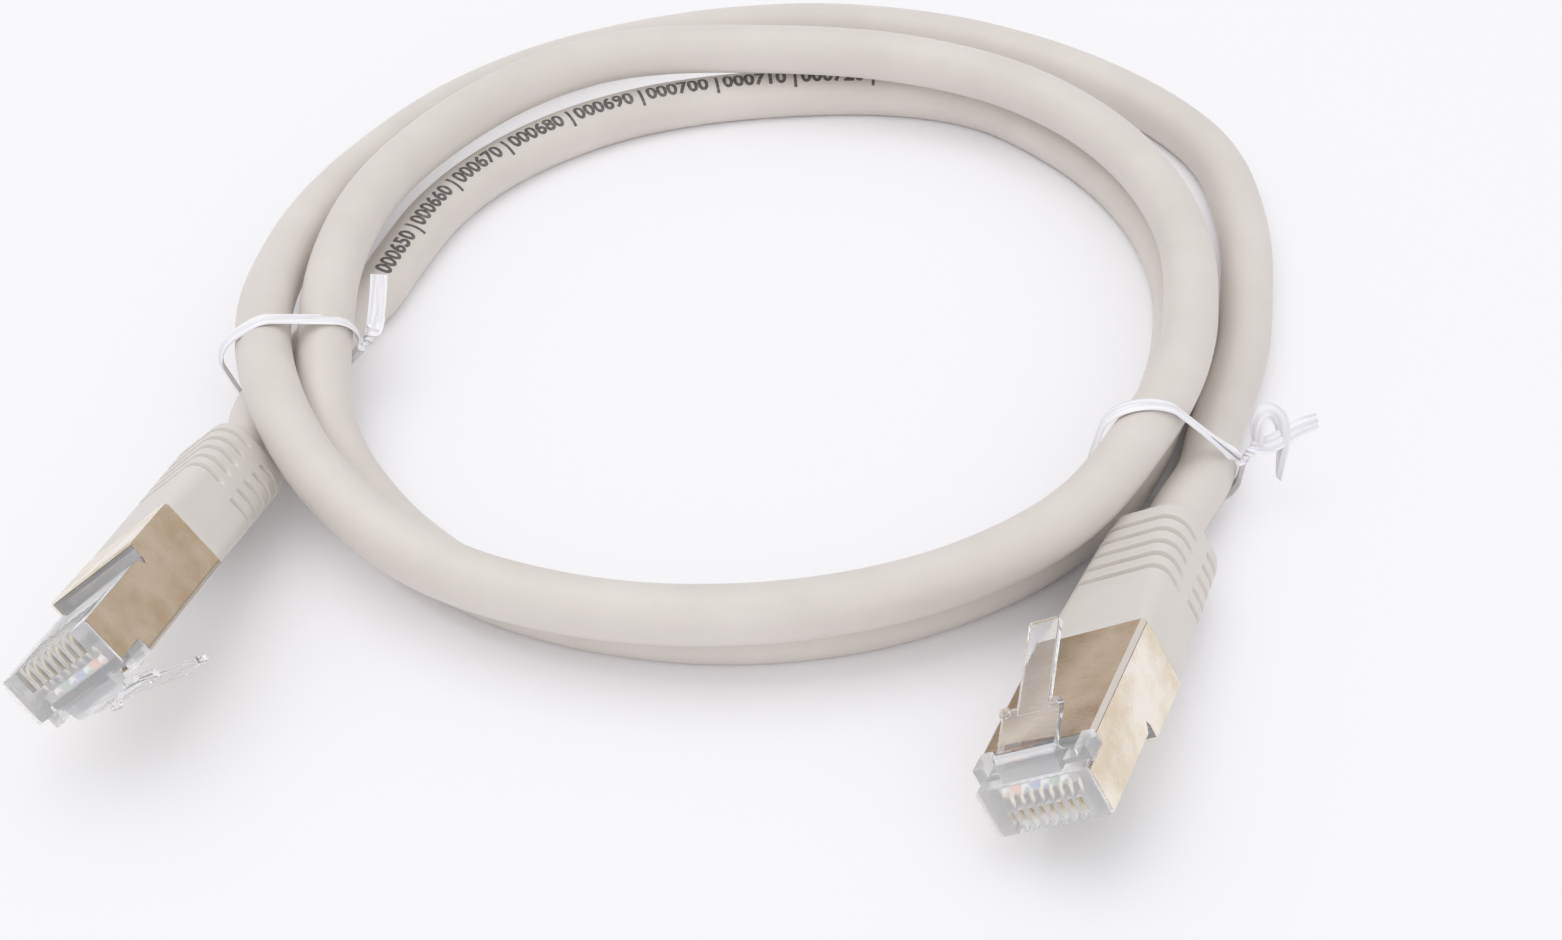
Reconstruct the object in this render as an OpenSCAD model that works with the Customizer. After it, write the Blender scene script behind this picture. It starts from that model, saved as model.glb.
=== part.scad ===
// Ethernet patch cable of the one metre class with two shielded plugs, wound up and tied.
// Millimetres, +Z up. The wound cord lies on z = 0, under the middle of the whole part.
// A plug is drawn along +Y from its nose, contact face at z = 0 and latch on the upper face.

/* [Cord] */
// Outside diameter of the round jacket
cord_d = 6; // [5:0.1:6.1]
// Clear space between turns that lie side by side
turn_gap = 0.5; // [0.45:0.05:0.8]
// Radius on which the turns are wound
coil_r = 52; // [43:0.5:60]
// Depth of the flat where the cord rests
rest_flat = 0.6; // [0.3:0.1:0.8]

/* [Plug] */
// Width over the shield
plug_w = 11.9; // [11.6:0.1:14.5]
// Length from the nose to the boot
plug_l = 21.5; // [20.5:0.1:26]
// Height from the contact face to the latch face
plug_h = 6.5; // [6.4:0.1:7]
// Height of the nose's front face
nose_h = 5.1; // [4.9:0.1:5.3]
// Depth of the step behind the nose
nose_step = 1.5; // [1.2:0.1:1.8]
// How far the rear stands out past the contact face
rear_drop = 1.55; // [1.5:0.05:2]
// Where the rear starts to stand out
rear_at = 13.1; // [12.5:0.1:14]
// Gap between pieces that slip into each other
fit_gap = 0.05; // [0.03:0.01:0.08]

/* [Contacts] */
// Number of contacts and wires
contact_count = 8; // [8]
// Distance between contacts
contact_pitch = 1.02; // [0.98:0.01:1.23]
// Thickness of a contact blade
blade_t = 0.35; // [0.25:0.05:0.4]
// Width of a contact slot
slot_w = 0.6; // [0.5:0.05:0.7]
// Height of a contact slot
slot_h = 2.4; // [2.2:0.1:2.6]
// Length of a contact slot
slot_l = 6.2; // [5.8:0.1:7]
// Outside diameter of an insulated wire
wire_d = 0.85; // [0.7:0.05:0.9]
// Height of the row of wires over the contact face
wire_z = 3.9; // [3.8:0.1:4.1]

/* [Shield] */
// Thickness of the sheet
sheet_t = 0.25; // [0.2:0.01:0.3]
// Where the sheet starts on the sides
shield_front = 0.3; // [0.3:0.1:0.6]
// Where the sheet starts on the latch face
shield_top_front = 4.15; // [4:0.05:5]
// Height of the side sheet beside the nose
shield_cheek_h = 4.75; // [4.4:0.05:4.9]
// Length of the crimped tail inside the boot
crimp_l = 6.5; // [5:0.1:8]

/* [Latch] */
// Width of the latch's shoulder
latch_w = 6.2; // [5.2:0.1:6.4]
// Width of the latch's tail
latch_tail_w = 3.3; // [2.8:0.1:3.6]
// Length from the hinge to the tail's end
latch_l = 14.4; // [12:0.1:17]
// Length of the wide shoulder
latch_shoulder_l = 4.8; // [4.2:0.1:5.5]
// Thickness of the latch
latch_t = 0.7; // [0.6:0.05:0.8]
// Angle at which the latch stands at rest
latch_rest = 20.7; // [20:0.1:24]

/* [Boot] */
// Length of the boot behind the shield
boot_l = 21; // [18:0.5:25]
// Side of the rounded square at the boot's end
boot_end_w = 9.6; // [9:0.1:10.5]
// Distance from the shield to the first groove
groove_at = 9.2; // [9:0.1:10]
// Distance between grooves
groove_pitch = 2.2; // [2:0.05:2.3]
// Number of grooves on each half
groove_count = 5; // [3:1:5]
// Width of a groove
groove_w = 0.7; // [0.5:0.05:0.9]
// Depth of a groove
groove_depth = 0.8; // [0.4:0.05:0.9]
// Height of the plain band between the upper and lower grooves
band_h = 2; // [1.5:0.1:2.5]

/* [Ties] */
// Width of a tie's ribbon
tie_w = 1.6; // [1.2:0.1:1.8]
// Thickness of a tie's ribbon over its wire
tie_t = 0.5; // [0.4:0.05:0.6]
// Side of the wire inside a tie
tie_wire = 0.2; // [0.15:0.01:0.22]

/* [Hidden] */
$fn = 48;

// Where the wound part lies: middle of the coil, and where the cord leaves each boot
coil_at = [6.8, 12.8];
exit_a_at = [-50.24, -21.82, 5.61];
exit_b_at = [45.55, -33.64, 5.61];

// How each plug lies: its pitch about X, roll about Y and yaw about Z
turns_a = [-13.5, 137.2, -11.3];
turns_b = [-5.6, -33.2, -21.4];

// The turns: angle seen from above, lane (0 is on coil_r) and layer (0 lies on the floor)
TURNS = [
    [-15, 0.05, 0], [0, 0.2, 0], [15, 0.7, 0], [30, 1.3, 0], [45, 1.4, 0], [75, 1.3, 0],
    [105, 1, 0], [135, 0.8, 0.05], [150, 0.6, 0.2], [165, 0.5, 0.5], [180, 0.6, 0.85],
    [195, 0.95, 1.15], [210, 1.3, 1.25], [225, 1.6, 1.1], [240, 1.7, 1], [270, 1.2, 1],
    [300, 0.5, 1.1], [318, -0.2, 1.25], [345, -0.85, 1.1], [360, -0.95, 1], [405, -1.05, 1],
    [450, -1.35, 1], [480, -0.8, 1], [510, -0.7, 1], [535, -0.5, 1.15], [555, -0.1, 1.1],
    [570, 0.5, 0.45], [585, 0.7, 0], [600, 0.9, 0], [630, 0.6, 0], [660, 0.05, 0.1],
    [675, -0.3, 0.22], [690, -0.8, 0.2], [705, -1, 0.05], [720, -1, 0], [765, -0.75, 0], [780, -0.7, 0],
    [810, -1.35, 0], [840, -1.4, 0], [885, -1.15, 0]
];
rings_per_turn = 24;
cord_sides = 12;
wire_sides = 8;

// The free stretches between each boot and the coil, chosen by hand: angle, lane, layer
LEAD_A_WAY = [[203, 1.385, 0.246], [199, 0.923, 0.215], [189, -0.077, 0.062]];
LEAD_B_WAY = [[323, 0.554, 0.231]];

// The ties' ends beyond their twist: away from the coil, up and along the cord, from the twist
LEFT_ENDS = [
    [[-0.7, -0.6, 0.7], [-0.9, -1.8, 1.5], [-0.8, -3.4, 2.6]],
    [[-0.7, 0.1, -0.6], [-1, 1.1, -1.4], [-1.3, 2.4, -2.6], [-1.7, 4.2, -4.4]]
];
RIGHT_ENDS = [
    [[0.5, 0.6, 0.6], [0.3, 1.8, 0.9], [-0.5, 3, 0.7], [-0.4, 4.2, -0.4], [0.6, 3.6, -1.6],
     [1.2, 1.4, -2.5], [1, -1.4, -3]],
    [[0.7, 0.3, -0.5], [1.7, 0.8, -0.3], [3.2, 1.2, 0.4], [4.9, 1.9, 1.2]]
];

cord_r = cord_d / 2;
rest_z = cord_r - rest_flat;
turn_pitch = cord_d + turn_gap;
plug_axis_z = (plug_h - rear_drop) / 2;
jacket_end = plug_l - 2;
boot_end = plug_l + boot_l;

// Vectors, turns and sweeps
function unit(v) = v / norm(v);
function turn_x(p, a) = [p.x, p.y * cos(a) - p.z * sin(a), p.y * sin(a) + p.z * cos(a)];
function turn_y(p, a) = [p.x * cos(a) + p.z * sin(a), p.y, p.z * cos(a) - p.x * sin(a)];
function turn_z(p, a) = [p.x * cos(a) - p.y * sin(a), p.x * sin(a) + p.y * cos(a), p.z];
function turned(p, turns) = turn_z(turn_x(turn_y(p, turns[1]), turns[0]), turns[2]);
function placed(p, at, turns) = at + turned(p, turns);

// Each plug's nose, a boot and a plug's length from where its cord comes out
nose_a_at = exit_a_at - turned([0, boot_end, plug_axis_z], turns_a);
nose_b_at = exit_b_at - turned([0, boot_end, plug_axis_z], turns_b);

// Slope of a table's column at a row, and its smooth value at an angle between two rows
function slope(rows, i, column) =
    let (low = max(i - 1, 0), high = min(i + 1, len(rows) - 1))
    (rows[high][column] - rows[low][column]) / (rows[high][0] - rows[low][0]);
function row_before(rows, angle, i = 0) =
    i >= len(rows) - 2 || rows[i + 1][0] > angle ? i : row_before(rows, angle, i + 1);
function smooth_value(rows, angle, column) =
    let (
        i = row_before(rows, angle),
        span = rows[i + 1][0] - rows[i][0],
        t = (angle - rows[i][0]) / span,
        start = rows[i][column],
        end = rows[i + 1][column],
        start_slope = slope(rows, i, column) * span,
        end_slope = slope(rows, i + 1, column) * span
    )
    start + start_slope * t + (3 * (end - start) - 2 * start_slope - end_slope) * t * t
        + (2 * (start - end) + start_slope + end_slope) * t * t * t;

// A point of the wound cord's middle line, and the cord's direction there
function coil_point(angle) =
    let (
        r = coil_r + turn_pitch * smooth_value(TURNS, angle, 1),
        layer = max(0, smooth_value(TURNS, angle, 2))
    )
    [coil_at.x + r * cos(angle), coil_at.y + r * sin(angle), rest_z + turn_pitch * layer];
function coil_heading(angle) =
    let (step = coil_point(angle + 0.5) - coil_point(angle - 0.5)) unit([step.x, step.y, 0]);

coil_from = TURNS[0][0];
coil_to = TURNS[len(TURNS) - 1][0];
coil_start = coil_point(coil_from) - cord_d * coil_heading(coil_from);
coil_stop = coil_point(coil_to) + cord_d * coil_heading(coil_to);
coil_line = [
    coil_start,
    for (a = [coil_from : 360 / rings_per_turn : coil_to]) coil_point(a),
    coil_stop
];
function around(way) =
    let (r = coil_r + turn_pitch * way[1])
    [coil_at.x + r * cos(way[0]), coil_at.y + r * sin(way[0]), rest_z + turn_pitch * way[2]];
function on_axis(y, at, turns) = placed([0, y, plug_axis_z], at, turns);
lead_a_line = [
    for (y = [jacket_end, plug_l + crimp_l, boot_end, boot_end + cord_d])
        on_axis(y, nose_a_at, turns_a),
    for (way = LEAD_A_WAY) around(way),
    coil_stop + cord_d * coil_heading(coil_to),
    coil_stop
];
lead_b_line = [
    for (y = [jacket_end, plug_l + crimp_l, boot_end, boot_end + cord_d])
        on_axis(y, nose_b_at, turns_b),
    for (way = LEAD_B_WAY) around(way),
    coil_start - cord_d * coil_heading(coil_from),
    coil_start
];

// Length of a line, and the least distance between turns less the cord's diameter
function line_length(line, i = 0) =
    i >= len(line) - 1 ? 0 : norm(line[i + 1] - line[i]) + line_length(line, i + 1);
fine_line = [for (a = [coil_from : 5 : coil_to]) coil_point(a)];
rows_apart = 24;
least_gap = min([
    for (i = [0 : len(fine_line) - 1], j = [i + rows_apart : 1 : len(fine_line) - 1])
        norm(fine_line[i] - fine_line[j])
]) - cord_d;
echo(least_gap_between_turns = least_gap);
echo(jacket_between_boots = line_length(coil_line) + line_length(lead_a_line)
    + line_length(lead_b_line) - 2 * (boot_end - jacket_end));

function heading(line, i) =
    unit(line[min(i + 1, len(line) - 1)] - line[max(i - 1, 0)]);
function ring(p, forward, r, sides) =
    let (side = unit(cross(forward, [0, 0, 1])), lift = cross(side, forward))
    [
        for (k = [0 : sides - 1])
            let (a = 360 * (k + 0.5) / sides, q = p + r * (cos(a) * side + sin(a) * lift))
            [q.x, q.y, max(0, q.z)]
    ];

// Joins rings of points, each with as many, into one closed solid
module sweep(rings) {
    sides = len(rings[0]);
    last = (len(rings) - 1) * sides;
    polyhedron(
        points = [for (one = rings) each one],
        faces = [
            for (k = [1 : sides - 2]) [0, k + 1, k],
            for (k = [1 : sides - 2]) [last, last + k, last + k + 1],
            for (i = [0 : len(rings) - 2], k = [0 : sides - 1])
                let (a = i * sides + k, b = i * sides + (k + 1) % sides)
                each [[a, b + sides, a + sides], [a, b, b + sides]]
        ]
    );
}

module tube(line, r, sides) {
    sweep([for (i = [0 : len(line) - 1]) ring(line[i], heading(line, i), r, sides)]);
}

// Cord
module coil() {
    color([0.84, 0.82, 0.79]) tube(coil_line, cord_r, cord_sides);
}

module lead(line) {
    color([0.84, 0.82, 0.79]) tube(line, cord_r, cord_sides);
}

// Plug: sizes that several pieces share
inner_w = plug_w - 2 * (sheet_t + fit_gap);
inner_top = plug_h - sheet_t - fit_gap;
inner_low = -rear_drop + sheet_t + fit_gap;
nose_w = plug_w - 2 * fit_gap;
housing_end = plug_l - 0.6;
wall = 0.6;
tunnel_start = 1.4;
bar_from = 11.8;
bar_l = 2.6;
bar_h = 1.9;
row_w = contact_pitch * (contact_count - 1) + wire_d;
bar_w = row_w + 1;
hinge = [0, 2, 7 + plug_h - 6.5];
barrel_r = 0.45;
foil_t = 0.07;
foil_in = cord_r + 0.03;
crimp_in = foil_in + foil_t + fit_gap;
crimp_out = crimp_in + sheet_t;
crimp_seam = 0.8;
drain_r = 0.15;

// Draws a profile given as (y, z) across the plug's width
module across(w) {
    translate([-w / 2, 0, 0]) rotate([90, 0, 90]) linear_extrude(w) children();
}

// Draws a section given as (x, z) from one place along the plug to another
module along(from, to) {
    translate([0, to, 0]) rotate([90, 0, 0]) linear_extrude(to - from) children();
}

module rounded_box_section(w, low, high, r) {
    hull()
        for (x = [r - w / 2, w / 2 - r], z = [low + r, high - r])
            translate([x, z]) circle(r, $fn = 32);
}

module each_contact() {
    for (i = [0 : contact_count - 1])
        translate([(i - (contact_count - 1) / 2) * contact_pitch, 0, 0]) children();
}

module blade_profile(grow = 0) {
    polygon([
        [0.6 - grow, 1.1], [1.3, 0.3 - grow], [5.6 + grow, 0.3 - grow],
        [5.6 + grow, slot_h], [4.6 + grow, slot_h], [4.2, wire_z - wire_d / 2 - fit_gap + grow],
        [3.8 - grow, slot_h], [2.6 + grow, slot_h], [2.2, wire_z - wire_d / 2 - fit_gap + grow],
        [1.8 - grow, slot_h], [0.6 - grow, slot_h]
    ]);
}

module housing() {
    color([0.9, 0.93, 0.95, 0.5])
    difference() {
        union() {
            across(inner_w) polygon([
                [0.2, 0], [rear_at, 0], [rear_at, inner_low], [housing_end, inner_low],
                [housing_end, inner_top], [shield_top_front, inner_top],
                [shield_top_front, nose_h + 0.5], [nose_step, nose_h + 0.5],
                [nose_step, nose_h], [0.2, nose_h]
            ]);
            nose_lip();
            for (side = [-1, 1]) shoulder_rail(side);
            latch_root();
        }
        each_contact() {
            translate([-slot_w / 2, -1, -1]) cube([slot_w, slot_l + 1, slot_h + 1]);
            across(blade_t + 2 * fit_gap) blade_profile(fit_gap);
        }
        wire_tunnel();
        bar_pocket();
        rear_cavity();
        along_hinge(barrel_r + 0.03, latch_w + 0.4);
    }
}

module nose_lip() {
    lip_t = shield_front - fit_gap;
    along(0, lip_t) rounded_box_section(nose_w, 0, nose_h, 0.3);
}

module shoulder_rail(side) {
    rail_in = 4.7;
    rail_low = shield_cheek_h + fit_gap;
    translate([side > 0 ? rail_in : -nose_w / 2, nose_step, rail_low])
        cube([nose_w / 2 - rail_in, shield_top_front - fit_gap - nose_step, plug_h - rail_low]);
}

module latch_root() {
    across(latch_w) polygon([
        [0.5, nose_h - 0.2], [0.9, hinge.z - 0.4], [1.3, hinge.z + 0.3], [1.7, hinge.z + 0.4],
        [2.2, hinge.z], [2.5, hinge.z - 0.7], [3.2, hinge.z - 1.4], [3.2, nose_h - 0.2]
    ]);
}

module along_hinge(r, l) {
    translate(hinge) rotate([0, 90, 0]) cylinder(r = r, h = l, center = true);
}

module wire_tunnel() {
    tunnel_h = wire_d + 0.15;
    translate([-row_w / 2 - 0.1, tunnel_start, wire_z - tunnel_h / 2])
        cube([row_w + 0.2, rear_at, tunnel_h]);
}

module bar_pocket() {
    w = bar_w + 2 * fit_gap;
    h = bar_h + 2 * fit_gap;
    translate([-w / 2, bar_from - fit_gap, wire_z - h / 2]) cube([w, bar_l + 1, h]);
}

module rear_cavity() {
    cavity_from = bar_from + bar_l;
    translate([-inner_w / 2 + wall + 0.3, cavity_from, plug_axis_z - cord_r - 0.15])
        cube([inner_w - 2 * wall - 0.6, plug_l, cord_d + 0.3]);
}

module latch() {
    corner = 0.9;
    color([0.9, 0.93, 0.95, 0.5])
    translate(hinge) rotate([latch_rest, 0, 0]) {
        rotate([0, 90, 0]) cylinder(r = barrel_r, h = latch_w, center = true);
        translate([-latch_w / 2, 0, -latch_t / 2]) cube([latch_w, latch_shoulder_l, latch_t]);
        for (side = [-1, 1])
            translate([side * (latch_w / 2 - corner / 2) - corner / 2,
                       latch_shoulder_l - corner, 0])
                cube([corner, corner, latch_t / 2 + 0.4]);
        translate([0, 0, -latch_t / 2 - 0.15]) linear_extrude(latch_t)
            latch_tail_outline();
    }
}

module latch_tail_outline() {
    tip_r = 0.4;
    hull() {
        translate([-latch_tail_w / 2, latch_shoulder_l - 0.6]) square([latch_tail_w, 1]);
        for (side = [-1, 1])
            translate([side * (latch_tail_w / 2 - tip_r), latch_l - tip_r])
                circle(tip_r, $fn = 24);
    }
}

module shield() {
    notch = [[rear_at - 1.3, -1], [rear_at - 1.3, 0], [rear_at - 0.55, 0.9], [rear_at, 0],
             [rear_at, -1]];
    color([0.78, 0.68, 0.5])
    difference() {
        union() {
            intersection() {
                along(shield_front, plug_l - 0.05) difference() {
                    rounded_box_section(plug_w, -rear_drop, plug_h, 0.45);
                    translate([-plug_w / 2 + sheet_t, -rear_drop + sheet_t])
                        square([plug_w - 2 * sheet_t, plug_h + rear_drop - 2 * sheet_t]);
                }
                across(plug_w + 1) shield_side();
            }
            shield_back();
        }
        across(plug_w + 1) polygon(notch);
    }
}

module shield_side() {
    polygon([
        [shield_front, 0], [rear_at, 0], [rear_at, -rear_drop], [plug_l, -rear_drop],
        [plug_l, plug_h], [shield_top_front, plug_h], [shield_top_front, shield_cheek_h],
        [shield_front, shield_cheek_h]
    ]);
}

module shield_back() {
    back_from = plug_l - 0.05 - sheet_t;
    difference() {
        union() {
            along(back_from, plug_l - 0.05)
                translate([-plug_w / 2 + 0.1, -rear_drop + 0.1])
                    square([plug_w - 0.2, plug_h + rear_drop - 0.2]);
            along(back_from, plug_l + crimp_l) translate([0, plug_axis_z]) circle(crimp_out);
        }
        along(back_from - 1, plug_l + crimp_l + 1) {
            translate([0, plug_axis_z]) circle(crimp_in);
            translate([-crimp_seam / 2, plug_axis_z - crimp_out - 0.2])
                square([crimp_seam, crimp_out]);
        }
    }
}

module contacts() {
    color([0.85, 0.68, 0.3]) each_contact() across(blade_t) blade_profile();
}

module load_bar() {
    color([0.92, 0.93, 0.94, 0.6])
    difference() {
        translate([-bar_w / 2, bar_from, wire_z - bar_h / 2]) cube([bar_w, bar_l, bar_h]);
        each_contact()
            translate([0, bar_from - 1, wire_z]) rotate([-90, 0, 0])
                cylinder(r = wire_d / 2 + 0.04, h = bar_l + 2, $fn = 24);
    }
}

// Wire number i, from the nose's row back to two staggered rows at the jacket's end
function wire_point(i, y) =
    let (
        from = bar_from + bar_l + 0.4,
        to = jacket_end - 0.6,
        t = min(max((y - from) / (to - from), 0), 1),
        bend = t * t * (3 - 2 * t),
        place = i - (contact_count - 1) / 2,
        packed_pitch = 0.64,
        row_lift = i % 2 == 0 ? 0.65 : -0.65
    )
    [
        place * (contact_pitch * (1 - bend) + packed_pitch * bend),
        y,
        wire_z * (1 - bend) + (plug_axis_z + row_lift) * bend
    ];

module wire(i, tint) {
    from = bar_from + bar_l + 0.4;
    to = jacket_end - 0.6;
    line = [
        for (y = [tunnel_start + 0.1, from, each [for (k = [1 : 5]) from + (to - from) * k / 5],
                  jacket_end])
            wire_point(i, y)
    ];
    color(tint) local_tube(line, wire_d / 2, wire_sides);
}

module local_tube(line, r, sides) {
    lift = 20;
    translate([0, 0, -lift]) tube([for (p = line) p + [0, 0, lift]], r, sides);
}

module foil_screen() {
    color([0.75, 0.76, 0.78])
    along(jacket_end + 0.6, plug_l + crimp_l - 0.4) translate([0, plug_axis_z])
        difference() {
            circle(foil_in + foil_t);
            circle(foil_in);
        }
}

module drain_wire() {
    color([0.8, 0.8, 0.82])
    along(housing_end + 0.05, plug_l + crimp_l - 0.2)
        translate([0, plug_axis_z - foil_in - foil_t - drain_r - 0.01]) circle(drain_r, $fn = 16);
}

// Boot: grooved half-way back, each groove broken by a plain band on both sides
module boot() {
    color([0.83, 0.81, 0.78])
    difference() {
        boot_form(0);
        difference() {
            grooves();
            boot_form(groove_depth);
        }
        translate([0, plug_l - 1, plug_axis_z]) rotate([-90, 0, 0])
            cylinder(r = crimp_out + fit_gap, h = crimp_l + 1.2);
        translate([0, plug_l, plug_axis_z]) rotate([-90, 0, 0])
            cylinder(r = cord_r + 0.1, h = boot_l + 1);
    }
}

module boot_form(inset) {
    rim = 1.2;
    half = (plug_h + rear_drop) / 2 - inset;
    end_half = boot_end_w / 2 - inset;
    hull() {
        boot_plate(plug_l, plug_w - 2 * inset, half, 1.1);
        boot_plate(boot_end - rim, 2 * end_half, end_half, 2.6);
        boot_plate(boot_end - 0.05, 2 * end_half - 1, end_half - 0.5, 2.4);
    }
}

// Four round corners of one cross-section, for a hull to join
module boot_plate(y, w, half, r) {
    for (x = [r - w / 2, w / 2 - r], z = [r - half, half - r])
        translate([x, y + 0.05, plug_axis_z + z]) rotate([90, 0, 0])
            cylinder(r = r, h = 0.05, $fn = 24);
}

module grooves() {
    reach = plug_w + 2;
    for (k = [0 : groove_count - 1], side = [-1, 1])
        translate([-reach / 2,
                   plug_l + groove_at + k * groove_pitch + (side < 0 ? groove_pitch / 3 : 0),
                   plug_axis_z + (side < 0 ? -reach : band_h / 2)])
            cube([reach, groove_w, reach - (side < 0 ? band_h / 2 : 0)]);
}

// Ties. A tie lies in an upright plane through origin; a place there is (outward, up).
// Each frame of its path is [middle, across the ribbon, away from the strands].
tie_gap = 0.2;
tie_r = cord_r + tie_t / 2 + tie_gap;
tie_apart = tie_t / 2 + 0.08;
tie_bend = 0.45;
twist_l = 2.6;
twist_turns = 1;
arc_steps = 4;
twist_steps = 12;
end_steps = 2;

function polar(a) = [cos(a), sin(a)];
function lifted(v, facing) = [v.x * cos(facing), v.x * sin(facing), v.y];
function sideways(facing) = [-sin(facing), cos(facing), 0];
function flattened(p, origin, facing) =
    [(p.x - origin.x) * cos(facing) + (p.y - origin.y) * sin(facing), p.z];
function plane_point(p, origin, facing) = [origin.x, origin.y, 0] + lifted(p, facing);

// The middle of a turn's tube where its straight pieces pass an angle
function chord_point(angle) =
    let (
        step = 360 / rings_per_turn,
        before = coil_from + floor((angle - coil_from) / step) * step,
        t = (angle - before) / step
    )
    coil_point(before) * (1 - t) + coil_point(before + step) * t;

function ahead(from, to) = from + (((to - from) % 360) + 360) % 360;
function side_angle(from, to) = atan2(from.x - to.x, to.y - from.y);
function arc(middle, r, from, to, origin, facing) = [
    for (k = [0 : arc_steps])
        let (a = from + (to - from) * k / arc_steps)
        [plane_point(middle + r * polar(a), origin, facing), sideways(facing),
         lifted(polar(a), facing)]
];

// The ribbon's way round the strands, which run against the clock from the one at the twist.
// A strand that lies behind the straight way between its neighbours is passed by.
function round_strands(strands, twist_at, spread, origin, facing, i = 0, from = undef) =
    let (
        n = len(strands),
        start = i == 0 ? twist_at + spread : from,
        to = ahead(start, i == n ? twist_at - spread
                                 : side_angle(strands[i % n], strands[(i + 1) % n])),
        passed = to - start > 300
    )
    concat(
        passed ? [] : arc(strands[i % n], tie_r, start, to, origin, facing),
        i == n ? [] : round_strands(strands, twist_at, spread, origin, facing, i + 1,
                                    passed ? start : to)
    );

// One of the two ribbons in the twist; side is 1 for the one that runs back and -1 for the other
function twist_frame(k, side, start, twist_at, origin, facing) =
    let (
        a = 360 * twist_turns * k / twist_steps,
        middle = start + polar(twist_at) * twist_l * k / twist_steps,
        up = lifted(polar(twist_at + 90), facing),
        away = side * (cos(a) * up + sin(a) * sideways(facing)),
        round = side * (cos(a) * sideways(facing) - sin(a) * up),
        climb = twist_l * lifted(polar(twist_at), facing) + 2 * PI * twist_turns * tie_apart * round
    )
    [plane_point(middle, origin, facing) + tie_apart * away,
     -side * unit(cross(climb, away)), away];

// A smooth line through points, with steps pieces between two of them
function smooth_line(points, steps) =
    let (last = len(points) - 1)
    [
        for (i = [0 : last - 1], k = [0 : steps - 1])
            let (
                t = k / steps,
                before = points[max(i - 1, 0)],
                from = points[i],
                to = points[i + 1],
                after = points[min(i + 2, last)]
            )
            from + t * (to - before) / 2 + t * t * (2 * before - 5 * from + 4 * to - after) / 2
                + t * t * t * (3 * from - before - 3 * to + after) / 2,
        points[last]
    ];

// Frames along a line, each turned no more than the line is from the one before it
function carried(points, away, i = 0) =
    i >= len(points) ? [] :
    let (t = heading(points, i), n = unit(away - (away * t) * t))
    concat([[points[i], cross(t, n), n]], carried(points, n, i + 1));

function tie_frames(strands, twist_at, ends, origin, facing) =
    let (
        reach = tie_bend + tie_apart,
        out = sqrt(pow(tie_r + tie_bend, 2) - reach * reach),
        spread = asin(reach / (tie_r + tie_bend)),
        start = strands[0] + out * polar(twist_at),
        sideward = reach * polar(twist_at + 90),
        first = [for (k = [twist_steps : -1 : 0])
            twist_frame(k, 1, start, twist_at, origin, facing)],
        second = [for (k = [0 : twist_steps])
            twist_frame(k, -1, start, twist_at, origin, facing)],
        tip = plane_point(start + twist_l * polar(twist_at), origin, facing),
        end_line = function (from, end) smooth_line(
            [from, for (p = end) tip + lifted([p.x, p.y], facing) + p.z * sideways(facing)],
            end_steps
        ),
        first_bend = arc(start + sideward, -tie_bend, twist_at + 90, twist_at + spread,
                         origin, facing),
        second_bend = arc(start - sideward, -tie_bend, twist_at - spread, twist_at - 90,
                          origin, facing),
        first_end = [
            for (f = carried(end_line(first[0][0], ends[0]), first[0][2])) [f[0], -f[1], f[2]]
        ],
        second_end = carried(end_line(second[twist_steps][0], ends[1]), second[twist_steps][2])
    )
    concat(
        [for (i = [len(first_end) - 1 : -1 : 1]) first_end[i]],
        first,
        [for (i = [1 : arc_steps - 1]) first_bend[i]],
        round_strands(strands, twist_at, spread, origin, facing),
        [for (i = [1 : arc_steps - 1]) second_bend[i]],
        second,
        [for (i = [1 : len(second_end) - 1]) second_end[i]]
    );

function section_ring(frame, section) = [for (q = section) frame[0] + q.x * frame[1] + q.y * frame[2]];

module ribbon(frames, section) {
    sweep([for (f = frames) section_ring(f, section)]);
}

// Stretches a path a little past both of its ends, so that a bore along it comes out
function overrun(frames, extra) =
    let (
        last = len(frames) - 1,
        back = unit(frames[0][0] - frames[1][0]) * extra,
        on = unit(frames[last][0] - frames[last - 1][0]) * extra
    )
    [for (i = [0 : last])
        [frames[i][0] + (i == 0 ? back : i == last ? on : [0, 0, 0]), frames[i][1], frames[i][2]]];

function square_section(side) =
    [[side, side], [-side, side], [-side, -side], [side, -side]] / 2;

module tie_sheath(frames) {
    ridge = tie_w * 0.22;
    color([0.95, 0.95, 0.98, 0.6])
    difference() {
        ribbon(frames, [
            [tie_w / 2, 0], [ridge, tie_t / 2], [-ridge, tie_t / 2],
            [-tie_w / 2, 0], [-ridge, -tie_t / 2], [ridge, -tie_t / 2]
        ]);
        ribbon(overrun(frames, 0.2), square_section(tie_wire + 0.06));
    }
}

module tie_core(frames) {
    color([0.5, 0.5, 0.52]) ribbon(frames, square_section(tie_wire));
}

// Half of what a strand's section in the tie's plane is longer than wide
function skew(step, facing) =
    let (
        along = unit(step),
        across = [along * lifted([1, 0], facing), along.z],
        part = norm(across)
    )
    cord_r * (1 / sqrt(1 - part * part) - 1) * across / part;

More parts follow.
